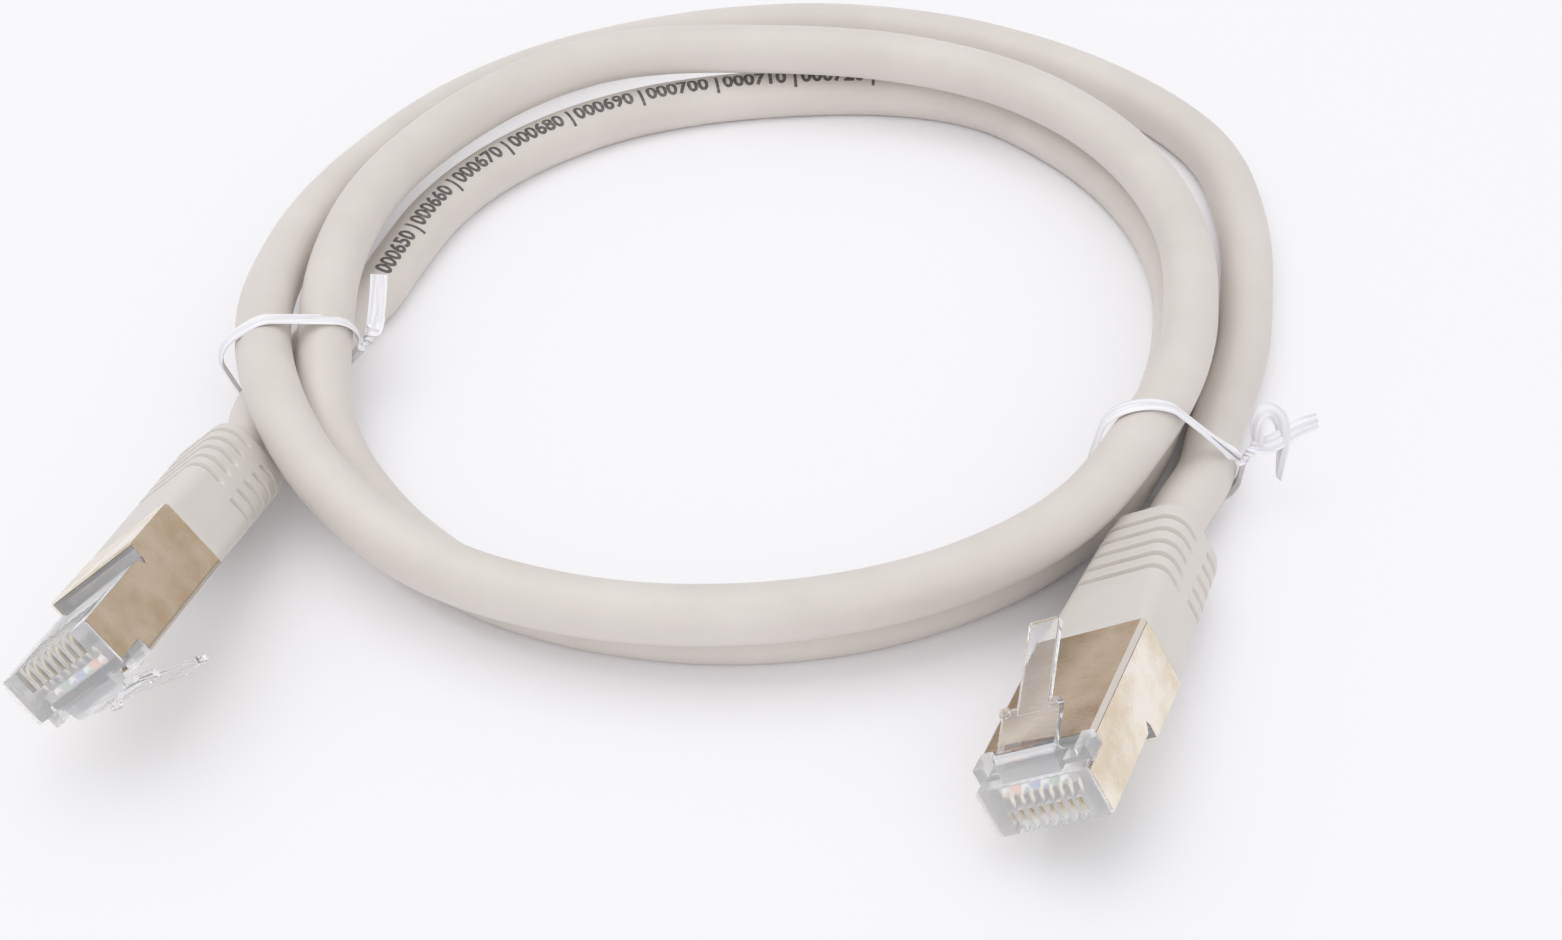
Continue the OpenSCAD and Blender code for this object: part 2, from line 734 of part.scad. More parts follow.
// Left: round the two upper turns and the lead to plug a
left_origin = coil_at;
left_facing = 199;
left_turn = 360 + left_facing;
left_high = flattened(chord_point(left_turn), left_origin, left_facing);
left_lead = flattened(around(LEAD_A_WAY[1]), left_origin, left_facing);
high_skew = skew(coil_point(left_turn - 5) - coil_point(left_turn + 5), left_facing);
lead_skew = skew(around(LEAD_A_WAY[0]) - around(LEAD_A_WAY[2]), left_facing);
left_frames = tie_frames(
    [
        left_high + high_skew,
        left_high - high_skew,
        left_lead - lead_skew,
        left_lead + lead_skew,
        flattened(chord_point(left_facing), left_origin, left_facing)
    ],
    200, LEFT_ENDS, left_origin, left_facing
);

// Right: aslant round the upper turn, the lower turn and the lead to plug b
right_facing = 3;
right_origin = chord_point(318);
aslant = cord_r / sin(45) - cord_r;
right_low = flattened(chord_point(677), right_origin, right_facing);
right_top = flattened(right_origin, right_origin, right_facing);
right_out = flattened(around(LEAD_B_WAY[0]), right_origin, right_facing);
right_spare = 0.45;
right_frames = tie_frames(
    [
        right_out + [right_spare, 0],
        right_top + [aslant, 0],
        right_top - [aslant, 0],
        right_low - [aslant, 0]
    ],
    28, RIGHT_ENDS, right_origin, right_facing
);

// Places a plug's piece at end a or b
module at_a() {
    translate(nose_a_at) rotate([0, 0, turns_a[2]]) rotate([turns_a[0], 0, 0])
        rotate([0, turns_a[1], 0]) children();
}

module at_b() {
    translate(nose_b_at) rotate([0, 0, turns_b[2]]) rotate([turns_b[0], 0, 0])
        rotate([0, turns_b[1], 0]) children();
}

pale = [0.93, 0.93, 0.92];
orange = [0.93, 0.55, 0.2];
green = [0.25, 0.6, 0.3];
blue = [0.25, 0.4, 0.8];
brown = [0.5, 0.33, 0.2];

coil();
lead(lead_a_line);  // lead_a
lead(lead_b_line);  // lead_b
at_a() housing();  // housing_a
at_a() latch();  // latch_a
at_a() shield();  // shield_a
at_a() contacts();  // contacts_a
at_a() load_bar();  // load_bar_a
at_a() boot();  // boot_a
at_a() foil_screen();  // foil_screen_a
at_a() drain_wire();  // drain_wire_a
at_b() housing();  // housing_b
at_b() latch();  // latch_b
at_b() shield();  // shield_b
at_b() contacts();  // contacts_b
at_b() load_bar();  // load_bar_b
at_b() boot();  // boot_b
at_b() foil_screen();  // foil_screen_b
at_b() drain_wire();  // drain_wire_b
at_a() wire(0, pale);  // white_orange_wire_a
at_a() wire(1, orange);  // orange_wire_a
at_a() wire(2, pale);  // white_green_wire_a
at_a() wire(3, blue);  // blue_wire_a
at_a() wire(4, pale);  // white_blue_wire_a
at_a() wire(5, green);  // green_wire_a
at_a() wire(6, pale);  // white_brown_wire_a
at_a() wire(7, brown);  // brown_wire_a
at_b() wire(0, pale);  // white_orange_wire_b
at_b() wire(1, orange);  // orange_wire_b
at_b() wire(2, pale);  // white_green_wire_b
at_b() wire(3, blue);  // blue_wire_b
at_b() wire(4, pale);  // white_blue_wire_b
at_b() wire(5, green);  // green_wire_b
at_b() wire(6, pale);  // white_brown_wire_b
at_b() wire(7, brown);  // brown_wire_b
tie_sheath(left_frames);  // left_tie_sheath
tie_core(left_frames);  // left_tie_core
tie_sheath(right_frames);  // right_tie_sheath
tie_core(right_frames);  // right_tie_core
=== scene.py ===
from bisect import bisect_right
from itertools import accumulate
from math import ceil, cos, pi, radians, sin, sqrt

import bmesh
import bpy
from bpy.props import (
    FloatProperty,
    FloatVectorProperty,
    IntProperty,
    PointerProperty,
)
from mathutils import Matrix, Vector
from mathutils.bvhtree import BVHTree


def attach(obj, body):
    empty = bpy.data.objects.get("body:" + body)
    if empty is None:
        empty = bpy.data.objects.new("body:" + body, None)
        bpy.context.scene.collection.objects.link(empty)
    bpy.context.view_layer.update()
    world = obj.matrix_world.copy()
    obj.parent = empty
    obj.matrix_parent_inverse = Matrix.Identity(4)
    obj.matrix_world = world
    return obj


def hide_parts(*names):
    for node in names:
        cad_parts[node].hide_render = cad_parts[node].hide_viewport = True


bl_info = {
    "name": "Wound Patch Cable",
    "version": (1, 0, 0),
    "blender": (4, 5, 0),
    "location": "View3D > Sidebar > Patch Cable",
    "description": "Dresses a wound and tied patch cable with its jacket, plugs, boots and ties",
    "category": "Add Mesh",
}

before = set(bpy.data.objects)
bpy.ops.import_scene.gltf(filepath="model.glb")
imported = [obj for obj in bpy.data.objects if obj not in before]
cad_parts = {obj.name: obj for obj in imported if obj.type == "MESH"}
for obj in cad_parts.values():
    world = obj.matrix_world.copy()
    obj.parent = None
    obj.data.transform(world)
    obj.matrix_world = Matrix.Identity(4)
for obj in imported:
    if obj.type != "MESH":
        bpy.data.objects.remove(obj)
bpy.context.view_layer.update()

MM = 0.001
CABLE = "cable"
ENDS = ("a", "b")

# How each plug lies: where the cord leaves its boot, in mm, then pitch, roll and yaw in degrees
CORD_EXITS = {"a": (-50.24, -21.82, 5.61), "b": (45.55, -33.64, 5.61)}
PLUG_TURNS = {"a": (-13.5, 137.2, -11.3), "b": (-5.6, -33.2, -21.4)}

# The cord's turns: angle seen from above, lane beside the winding radius, layer over the floor
COIL_MIDDLE = (6.8, 12.8)
TURNS = (
    (-15, 0.05, 0), (0, 0.2, 0), (15, 0.7, 0), (30, 1.3, 0), (45, 1.4, 0), (75, 1.3, 0),
    (105, 1, 0), (135, 0.8, 0.05), (150, 0.6, 0.2), (165, 0.5, 0.5), (180, 0.6, 0.85),
    (195, 0.95, 1.15), (210, 1.3, 1.25), (225, 1.6, 1.1), (240, 1.7, 1), (270, 1.2, 1),
    (300, 0.5, 1.1), (318, -0.2, 1.25), (345, -0.85, 1.1), (360, -0.95, 1), (405, -1.05, 1),
    (450, -1.35, 1), (480, -0.8, 1), (510, -0.7, 1), (535, -0.5, 1.15), (555, -0.1, 1.1),
    (570, 0.5, 0.45), (585, 0.7, 0), (600, 0.9, 0), (630, 0.6, 0), (660, 0.05, 0.1),
    (675, -0.3, 0.22), (690, -0.8, 0.2), (705, -1, 0.05), (720, -1, 0), (765, -0.75, 0),
    (780, -0.7, 0), (810, -1.35, 0), (840, -1.4, 0), (885, -1.15, 0),
)

# The cord's middle line: the step round the coil, in degrees, and between its points
COIL_STEP = 5
LINE_SPACING = 2.5 * MM

# The free stretches between a boot and the coil: angle, lane, layer
LEAD_WAYS = {
    "a": ((203, 1.385, 0.246), (199, 0.923, 0.215), (189, -0.077, 0.062)),
    "b": ((323, 0.554, 0.231),),
}

# Plug sizes that no one sets by themselves: how far in front of the boot the jacket ends, the
# shield's crimp behind it, the blades, and the wires' row and bundle
JACKET_END_BACK = 2.0 * MM
CRIMP_LENGTH = 6.5 * MM
CRIMP_OUT = 3.4 * MM
CONTACTS = 8
CONTACT_PITCH = 1.02 * MM
BLADE_THICKNESS = 0.35 * MM
WIRE_HEIGHT = 3.9 * MM
WIRE_CLOSE_PITCH = 0.64 * MM
WIRE_ROW_RISE = 0.65 * MM

# Along a plug, in mm: a wire's start, where its bend starts and ends, and the wire's end
WIRE_RUN = (1.5, 14.8, 18.9, 19.5)

# Wires in the order of their contacts: name, ground colour, stripe colour
WIRES = (
    ("white_orange", (0.82, 0.80, 0.76), (0.80, 0.26, 0.03)),
    ("orange", (0.80, 0.26, 0.03), (0.80, 0.26, 0.03)),
    ("white_green", (0.82, 0.80, 0.76), (0.03, 0.28, 0.08)),
    ("blue", (0.02, 0.08, 0.42), (0.02, 0.08, 0.42)),
    ("white_blue", (0.82, 0.80, 0.76), (0.02, 0.08, 0.42)),
    ("green", (0.03, 0.28, 0.08), (0.03, 0.28, 0.08)),
    ("white_brown", (0.82, 0.80, 0.76), (0.16, 0.06, 0.02)),
    ("brown", (0.16, 0.06, 0.02), (0.16, 0.06, 0.02)),
)

# A boot's edges, grooves and hole
BOOT_FRONT_CORNER = 1.1 * MM
BOOT_END_CORNER = 2.6 * MM
BOOT_EDGE = 0.1 * MM
BOOT_RIM = 1.2 * MM
BOOT_RIM_INSET = 0.5 * MM
BOOT_CLEARANCE = 0.1 * MM
BOOT_EDGE_BACK = 0.15 * MM
BOOT_RING_SPACING = 0.1 * MM
BOOT_LIP = 0.02 * MM
BOOT_MOUTH = 0.3 * MM
BOOT_MOUTH_FLARE = 0.25 * MM
CRIMP_POCKET_SPARE = 0.2 * MM
GROOVE_STARTS = 0.05 * MM
GROOVE_IS_FULL = 0.22 * MM
GROOVE_HALF = 0.56
LOWER_GROOVES_BACK = 1 / 3

# The printed length numbers: where along the cord, the first number, and how they sit
MARKS_FROM = 66 * MM
MARK_COUNT = 8
FIRST_MARK = 650
MARK_STEP = 10 * MM
MARK_LEAN = radians(14)
INK_LIFT = 0.015 * MM
CAPITAL_PER_SIZE = 0.7
STROKE_WEIGHT = 0.035
LONGEST_MARK_EDGE = 0.3 * MM

# The painted highlight along the shield's folded long edges, and the dark seam beside it
FOLD_HIGHLIGHT_WIDTH = 0.42 * MM
# How far in from the right side and the contact face the sheet's painted reflection reaches
SIDE_DEPTH = 0.2 * MM
SEAM_WIDTH = 0.09 * MM
SEAM_REACH = 0.12 * MM
SEAM_COLOUR = (0.26, 0.22, 0.17)

# The sheet's patches: the share of clouds in them, and between which values the tones blend
CLOUD_SHARE = 0.72
TARNISH_SPAN = (0.38, 0.58)

# Clear plastic: the tint of light that passes straight on, and how the mouldings differ
OPEN_WAY = (0.985, 0.990, 0.995, 1)
HOUSING_BEND = 1.25
HOUSING_EDGE_BEND = 1.5
HOUSING_EDGE_MILK = 0.1
HOUSING_WALLS = 2
LOAD_BAR_MILK = 0.3

# How far along a wire its stripe takes to go round once; a ribbon's streaks are about as long
STRIPE_LAY = 0.009

# The ribbon's section: how narrow its bead is, and how close its ribs are
BEAD_NARROWNESS = 40.0
RIB_CLOSENESS = 14.0

# How strong the part of the jacket's swell is that winds round with its pairs
RIPPLE_SHARE = 0.12

FOIL_COLOUR = (0.80, 0.80, 0.83)
TIN_COLOUR = (0.74, 0.74, 0.76)

# The floor's glow: how near a piece has to be to shade it, and how fast it falls there
GLOW_CLEARANCE = 0.022
GLOW_FALL = 1.6

# The sky's light: its tint, its strength at the horizon and high up, and how high that is
SKY_TINT = (0.99, 0.985, 1.0, 1)
SKY_LOW = 0.88
SKY_HIGH = 1.06
SKY_HIGH_AT = 0.8

# Where the camera and the lamps stand, in metres
CAMERA_AIM = (0.0068, -0.0152, 0.0)
KEY_PLACE = (-0.3, 0.1, 1.0)
KEY_SIZE = 0.9
FILL_PLACE = (0.3, -0.9, 0.55)
FILL_SIZE = 0.8
FILL_SHARE = 0.57

RIGHT_TIE_AT = (44.27, -21.11)

# A tie lies in an upright plane that faces one way through a point. A strand's row says how far
# outward and up it is there, and how much wider the plane cuts it where it lies aslant. The ends'
# rows run outward, up and along from the end of the twist.
TIES = {
    "left": {
        "faces": 199, "through": COIL_MIDDLE, "twist_at": 200,
        "strands": [(52.03, 8.42, 1.05), (58.0, 3.8, 1.05), (60.1, 9.2, 1.0), (58.38, 10.05, 1.0)],
        "twist_way": (-0.7, 0.3, -0.6),
        "ends": [
            [(-0.4, 0.5, -0.5), (-0.8, 1.2, -1.2)],
            [(-0.5, 0.8, -0.8), (-1.1, 2.0, -2.0), (-1.6, 3.3, -3.1), (-2.0, 4.6, -4.0)],
        ],
        "rolls": (0, 10),
    },
    "right": {
        "faces": 3, "through": RIGHT_TIE_AT, "twist_at": 28,
        "strands": [(7.4, 3.9, 1.0), (0.0, 10.42, 1.4), (-1.38, 3.81, 1.4)],
        "twist_way": (0.5, 0.7, 0.2),
        "ends": [
            [(0.1, 0.9, 0.3), (0.2, 2.4, 0.8), (0.9, 3.6, 1.1), (2.0, 3.4, 0.8),
             (2.6, 2.2, 0.2), (2.8, 0.4, -0.5), (2.6, -1.6, -1.2), (2.5, -3.2, -1.6)],
            [(1.2, 0.3, -0.4), (2.8, 1.1, -0.2), (4.6, 1.9, 0.4), (6.4, 2.3, 0.9)],
        ],
        "rolls": (90, 60),
    },
}
TWIST_TURNS = 1.5
TWIST_STEPS = 16
TWIST_CRUSH = 0.55
CRUSH_AT_ROOT = 0.2
BAND_SPREAD = 30
BAND_STEP = 10


# Settings ---------------------------------------------------------------------------------------


def number(name, default, description, low=0.0, high=1.0, **more):
    return FloatProperty(
        name=name, description=description, default=default, min=low, max=high, **more
    )


def length(name, default, description, low=0.0001, high=2.0):
    return number(name, default, description, low, high, subtype="DISTANCE", unit="LENGTH",
                  precision=5)


def colour(name, default, description):
    return FloatVectorProperty(
        name=name, description=description, default=default, size=3, min=0.0, max=1.0,
        subtype="COLOR",
    )


class CordSettings(bpy.types.PropertyGroup):
    diameter: length("Diameter", 0.006, "Outside diameter of the round jacket")
    winding_radius: length("Winding radius", 0.052, "Radius of the lane numbered 0")
    turn_gap: length("Turn gap", 0.0005, "Clear space between turns that lie side by side")
    rest_flat: length("Resting flat", 0.0006, "Depth of the flat where the cord rests")
    ring_spacing: length("Ring spacing", 0.0012, "Distance between rings of the jacket's mesh")
    sides: IntProperty(name="Sides", description="Points round the jacket", default=40, min=12)
    lump_height: length("Lump height", 0.00016, "How far the jacket swells over its pairs", 0)
    jacket: colour("Jacket", (0.770, 0.725, 0.682), "Colour of the jacket")
    jacket_shade: colour("Jacket shade", (0.725, 0.680, 0.636), "Its slightly darker patches")
    mark_height: length("Mark height", 0.0019, "Height of the printed length numbers")
    mark_ink: colour("Mark ink", (0.115, 0.108, 0.104), "Colour of the printed length numbers")


class PlugSettings(bpy.types.PropertyGroup):
    milk: number("Milk", 0.34, "Share of light the housings' plastic scatters")
    width: length("Width", 0.0119, "Width over the shield")
    height: length("Height", 0.0065, "Height from the contact face to the latch face")
    length: length("Length", 0.0215, "Length from the nose to the boot")
    rear_drop: length("Rear drop", 0.00155, "How far the rear stands out past the contact face")
    edge: length("Moulded edge", 0.00012, "Rounding of the clear mouldings' edges")
    sheet_edge: length("Sheet edge", 0.00006, "Rounding of the shield's edges")
    wire_diameter: length("Wire diameter", 0.00085, "Outside diameter of an insulated wire")
    clear: colour("Clear plastic", (0.985, 0.990, 0.998), "Tint of the clear mouldings")
    sheet: colour("Sheet", (0.530, 0.438, 0.328), "Colour of the plated sheet")
    sheet_stain: colour("Sheet stain", (0.435, 0.328, 0.212), "Colour of its darker patches")
    # The next two colours are the sheet under a painted reflection, on its right side and contact
    # face
    pale: colour("Pale sheet", (0.905, 0.855, 0.755), "Colour of the sheet where it is paler")
    pale_stain: colour("Pale stain", (0.740, 0.635, 0.475), "Colour of the darker patches there")
    # The next colour is a painted highlight along the shield's folded edges
    fold_highlight: colour("Fold", (0.680, 0.640, 0.575), "Colour of the sheet's worn folds")
    gold: colour("Contacts", (0.900, 0.770, 0.520), "Colour of the contacts")


class BootSettings(bpy.types.PropertyGroup):
    length: length("Length", 0.021, "Length of a boot behind the shield")
    end_width: length("End width", 0.0096, "Side of the rounded square at a boot's end")
    groove_at: length("First groove", 0.0092, "Distance from the shield to the first groove")
    groove_pitch: length("Groove pitch", 0.0022, "Distance between grooves")
    groove_count: IntProperty(name="Grooves", description="Grooves on each half", default=5)
    groove_width: length("Groove width", 0.0007, "Width of a groove")
    groove_depth: length("Groove depth", 0.0008, "Depth of a groove")
    band: length("Plain band", 0.002, "Height of the band between upper and lower grooves")
    vinyl: colour("Vinyl", (0.750, 0.716, 0.676), "Colour of the boots")
    vinyl_shade: colour("Vinyl shade", (0.712, 0.678, 0.636), "Its slightly darker patches")


class TieSettings(bpy.types.PropertyGroup):
    width: length("Width", 0.0019, "Width of the ribbon")
    thickness: length("Thickness", 0.00024, "Thickness of the ribbon's film", 0.00005)
    bead: length("Bead", 0.00022, "How much thicker the ribbon is over its wire", 0.0)
    rib: length("Rib", 0.00006, "Height of the ribs along the ribbon", 0.0)
    gap: length("Gap", 0.00022, "Between the ribbon and the cord", 0.0)
    twist: length("Twist", 0.0022, "Length of the twist")
    wire_diameter: length("Wire", 0.00022, "Thickness of the wire")
    film: colour("Film", (0.985, 0.980, 0.992), "Colour of the ribbon")
    shade: colour("Film shade", (0.800, 0.790, 0.850), "Colour of the ribbon's streaks")
    wire: colour("Wire colour", (0.45, 0.45, 0.47), "Colour of the wire in the ribbon")


class StageSettings(bpy.types.PropertyGroup):
    floor: colour("Floor", (0.955, 0.948, 0.970), "Colour of the floor and the backdrop")
    floor_size: length("Floor size", 1.6, "Side of the floor", 0.2, 10.0)
    glow: number("Floor glow", 0.80, "How far the floor's shadows are thinned", subtype="FACTOR")
    camera_distance: length("Camera distance", 0.294, "Distance from the camera to its aim")
    camera_height: number("Camera elevation", radians(40), "Angle of the camera above the floor",
                          high=pi / 2, subtype="ANGLE", unit="ROTATION")
    lens: number("Lens", 63.17, "Focal length on a 36 mm sensor", 10, 500, unit="CAMERA")
    key_power: number("Key lamp", 2.8, "Power of the large lamp over the table", high=100,
                      unit="POWER")
    sky: number("Sky", 0.70, "Strength of the even light from all round", high=10)


# Places and lines -------------------------------------------------------------------------------


def plug_axis_height(plug):
    return (plug.height - plug.rear_drop) / 2


def plug_place(end):
    """Turns a plug's own metres (x across, y back from the nose, z up) into the frame's."""
    scene = bpy.context.scene
    pitch, roll, yaw = (radians(turn) for turn in PLUG_TURNS[end])
    turned = (
        Matrix.Rotation(yaw, 4, "Z") @ Matrix.Rotation(pitch, 4, "X")
        @ Matrix.Rotation(roll, 4, "Y")
    )
    plug = scene.patch_plug
    exit_along = Vector((0, plug.length + scene.patch_boot.length, plug_axis_height(plug)))
    exit_at = Matrix.Translation(Vector(CORD_EXITS[end]) * MM)
    return exit_at @ turned @ Matrix.Translation(-exit_along)


def slope(rows, i, column):
    low, high = max(i - 1, 0), min(i + 1, len(rows) - 1)
    return (rows[high][column] - rows[low][column]) / (rows[high][0] - rows[low][0])


def smooth_value(rows, angle, column):
    """A column's value at an angle between two rows, on a curve that has no kink at a row."""
    i = max(k for k in range(len(rows) - 1) if k == 0 or rows[k][0] <= angle)
    span = rows[i + 1][0] - rows[i][0]
    t = (angle - rows[i][0]) / span
    start, end = rows[i][column], rows[i + 1][column]
    start_slope, end_slope = slope(rows, i, column) * span, slope(rows, i + 1, column) * span
    return (
        start + start_slope * t + (3 * (end - start) - 2 * start_slope - end_slope) * t**2
        + (2 * (start - end) + start_slope + end_slope) * t**3
    )


def at_lane(cord, angle, lane, layer):
    """The middle of the cord at an angle round the coil, in a lane and a layer."""
    pitch = cord.diameter + cord.turn_gap
    r = cord.winding_radius + pitch * lane
    return Vector((
        COIL_MIDDLE[0] * MM + r * cos(radians(angle)),
        COIL_MIDDLE[1] * MM + r * sin(radians(angle)),
        cord.diameter / 2 - cord.rest_flat + pitch * max(0.0, layer),
    ))


def coil_point(cord, angle):
    lane, layer = smooth_value(TURNS, angle, 1), smooth_value(TURNS, angle, 2)
    return at_lane(cord, angle, lane, layer)


def coil_heading(cord, angle):
    step = coil_point(cord, angle + 0.5) - coil_point(cord, angle - 0.5)
    return Vector((step.x, step.y, 0)).normalized()


def lead_points(end):
    """Points of one free stretch, from inside its plug to the coil."""
    scene = bpy.context.scene
    cord, plug, boot = scene.patch_cord, scene.patch_plug, scene.patch_boot
    boot_end = plug.length + boot.length
    on_axis = [plug.length - JACKET_END_BACK, plug.length + CRIMP_LENGTH, boot_end,
               boot_end + cord.diameter]
    place = plug_place(end)
    points = [place @ Vector((0, y, plug_axis_height(plug))) for y in on_axis]
    points += [at_lane(cord, *way) for way in LEAD_WAYS[end]]
    angle, side = (TURNS[-1][0], 1) if end == "a" else (TURNS[0][0], -1)
    straight = side * cord.diameter * coil_heading(cord, angle)
    coil_end = coil_point(cord, angle)
    return points + [coil_end + 2 * straight, coil_end + straight]


def smooth_span(before, start, end, after, spacing):
    """Points of a smooth line from start up to end, about every spacing."""
    span = (end - start).length
    into = (end - before) * span / max((start - before).length + span, 1e-9)
    out_of = (after - start) * span / max((after - end).length + span, 1e-9)
    steps = max(1, ceil(span / spacing))
    return [
        start + into * t + (3 * (end - start) - 2 * into - out_of) * t**2
        + (2 * (start - end) + into + out_of) * t**3
        for t in (k / steps for k in range(steps))
    ]


def smooth_line(points, spacing):
    """A smooth line through points."""
    line = []
    for i in range(len(points) - 1):
        before, after = points[max(i - 1, 0)], points[min(i + 2, len(points) - 1)]
        line += smooth_span(before, points[i], points[i + 1], after, spacing)
    return line + [points[-1]]


def cord_line():
    """The cord's middle line, from inside plug a through the coil to inside plug b."""
    cord = bpy.context.scene.patch_cord
    first, last = TURNS[0][0], TURNS[-1][0]
    coil = [coil_point(cord, angle) for angle in range(last, first - 1, -COIL_STEP)]
    return smooth_line(lead_points("a") + coil + lead_points("b")[::-1], LINE_SPACING)


# Node trees -------------------------------------------------------------------------------------

FLOAT = "NodeSocketFloat"


def put(tree, kind, sockets=None, **settings):
    """Adds a node, sets its settings, and fills its sockets with values or links."""
    node = tree.nodes.new(kind)
    for name, value in settings.items():
        setattr(node, name, value)
    for key, value in (sockets or {}).items():
        socket = node.inputs[key]
        if isinstance(value, bpy.types.NodeSocket):
            tree.links.new(value, socket)
        else:
            socket.default_value = value
    return node


def maths(tree, operation, *values):
    return put(tree, "ShaderNodeMath", dict(enumerate(values)), operation=operation).outputs[0]


def stored(tree, shape, name, value):
    """The shape with a number stored at each point under a name."""
    return put(tree, "GeometryNodeStoreNamedAttribute",
               {"Geometry": shape, "Name": name, "Value": value},
               data_type="FLOAT", domain="POINT").outputs[0]


def stored_value(tree, name, kind="FLOAT"):
    found = put(tree, "GeometryNodeInputNamedAttribute", {"Name": name}, data_type=kind)
    return found.outputs["Attribute"]


def position_parts(tree):
    place = put(tree, "GeometryNodeInputPosition")
    return put(tree, "ShaderNodeSeparateXYZ", {0: place.outputs[0]}).outputs


def ringed(tree, curve, spacing):
    """A curve cut into even steps, with the length reached stored as along."""
    rings = put(tree, "GeometryNodeResampleCurve", {"Curve": curve, "Length": spacing},
                mode="LENGTH")
    run = put(tree, "GeometryNodeSplineParameter")
    return stored(tree, rings.outputs[0], "along", run.outputs["Length"])


def background_seen(tree):
    """1 where the camera looks, also through clear plastic and by way of metal, and 0 for light."""
    path = put(tree, "ShaderNodeLightPath").outputs
    seen = maths(tree, "MAXIMUM", path["Is Camera Ray"], path["Is Transmission Ray"])
    return maths(tree, "MAXIMUM", seen, path["Is Glossy Ray"])


class ShapeTree:
    """A geometry tree with named inputs that ends in Realize Instances and Set Material."""

    def __init__(self, name, **inputs):
        self.tree = bpy.data.node_groups.new(name, "GeometryNodeTree")
        face = self.tree.interface
        face.new_socket("Geometry", in_out="INPUT", socket_type="NodeSocketGeometry")
        for label, kind in inputs.items():
            face.new_socket(label.replace("_", " "), in_out="INPUT", socket_type=kind)
        face.new_socket("Material", in_out="INPUT", socket_type="NodeSocketMaterial")
        face.new_socket("Geometry", in_out="OUTPUT", socket_type="NodeSocketGeometry")
        self.given = self.tree.nodes.new("NodeGroupInput").outputs

    def end(self, shape):
        real = put(self.tree, "GeometryNodeRealizeInstances", {"Geometry": shape})
        painted = put(self.tree, "GeometryNodeSetMaterial",
                      {"Geometry": real.outputs[0], "Material": self.given["Material"]})
        self.tree.links.new(painted.outputs[0], self.tree.nodes.new("NodeGroupOutput").inputs[0])
        return self.tree


def sweep_tree():
    """Sweeps a round section along a line, with the swell of the cores under a jacket."""
    made = ShapeTree(
        "Round sweep", Radius=FLOAT, Sides="NodeSocketInt", Ring_spacing=FLOAT,
        Lump_height=FLOAT, Lump_length=FLOAT, Twist_length=FLOAT, Lowest=FLOAT,
    )
    tree, given = made.tree, made.given
    line = ringed(tree, given["Geometry"], given["Ring spacing"])
    circle = put(tree, "GeometryNodeCurvePrimitiveCircle",
                 {"Resolution": given["Sides"], "Radius": given["Radius"]}, mode="RADIUS")
    turn = put(tree, "GeometryNodeSplineParameter")
    section = stored(tree, circle.outputs[0], "around", turn.outputs["Factor"])
    skin = put(tree, "GeometryNodeCurveToMesh",
               {"Curve": line, "Profile Curve": section, "Fill Caps": True})
    lay = maths(tree, "DIVIDE", stored_value(tree, "along"), given["Twist length"])
    turned = maths(tree, "ADD", lay, maths(tree, "MULTIPLY", stored_value(tree, "around"), 2.0))
    ripple = maths(tree, "SINE", maths(tree, "MULTIPLY", turned, 2 * pi))
    place = put(tree, "GeometryNodeInputPosition")
    grain = maths(tree, "DIVIDE", 1.0, given["Lump length"])
    noise = put(tree, "ShaderNodeTexNoise",
                {"Vector": place.outputs[0], "Scale": grain, "Detail": 1.0})
    swell = maths(tree, "ADD", maths(tree, "SUBTRACT", noise.outputs["Fac"], 0.5),
                  maths(tree, "MULTIPLY", ripple, RIPPLE_SHARE))
    height = maths(tree, "MULTIPLY", swell, given["Lump height"])
    normal = put(tree, "GeometryNodeInputNormal")
    offset = put(tree, "ShaderNodeVectorMath", {0: normal.outputs[0], "Scale": height},
                 operation="SCALE")
    swollen = put(tree, "GeometryNodeSetPosition",
                  {"Geometry": skin.outputs[0], "Offset": offset.outputs[0]})
    parts = position_parts(tree)
    lowest = maths(tree, "MAXIMUM", parts["Z"], given["Lowest"])
    rested = put(tree, "ShaderNodeCombineXYZ", {"X": parts["X"], "Y": parts["Y"], "Z": lowest})
    lying = put(tree, "GeometryNodeSetPosition",
                {"Geometry": swollen.outputs[0], "Position": rested.outputs[0]})
    smooth = put(tree, "GeometryNodeSetShadeSmooth", {"Geometry": lying.outputs[0]})
    return made.end(smooth.outputs[0])


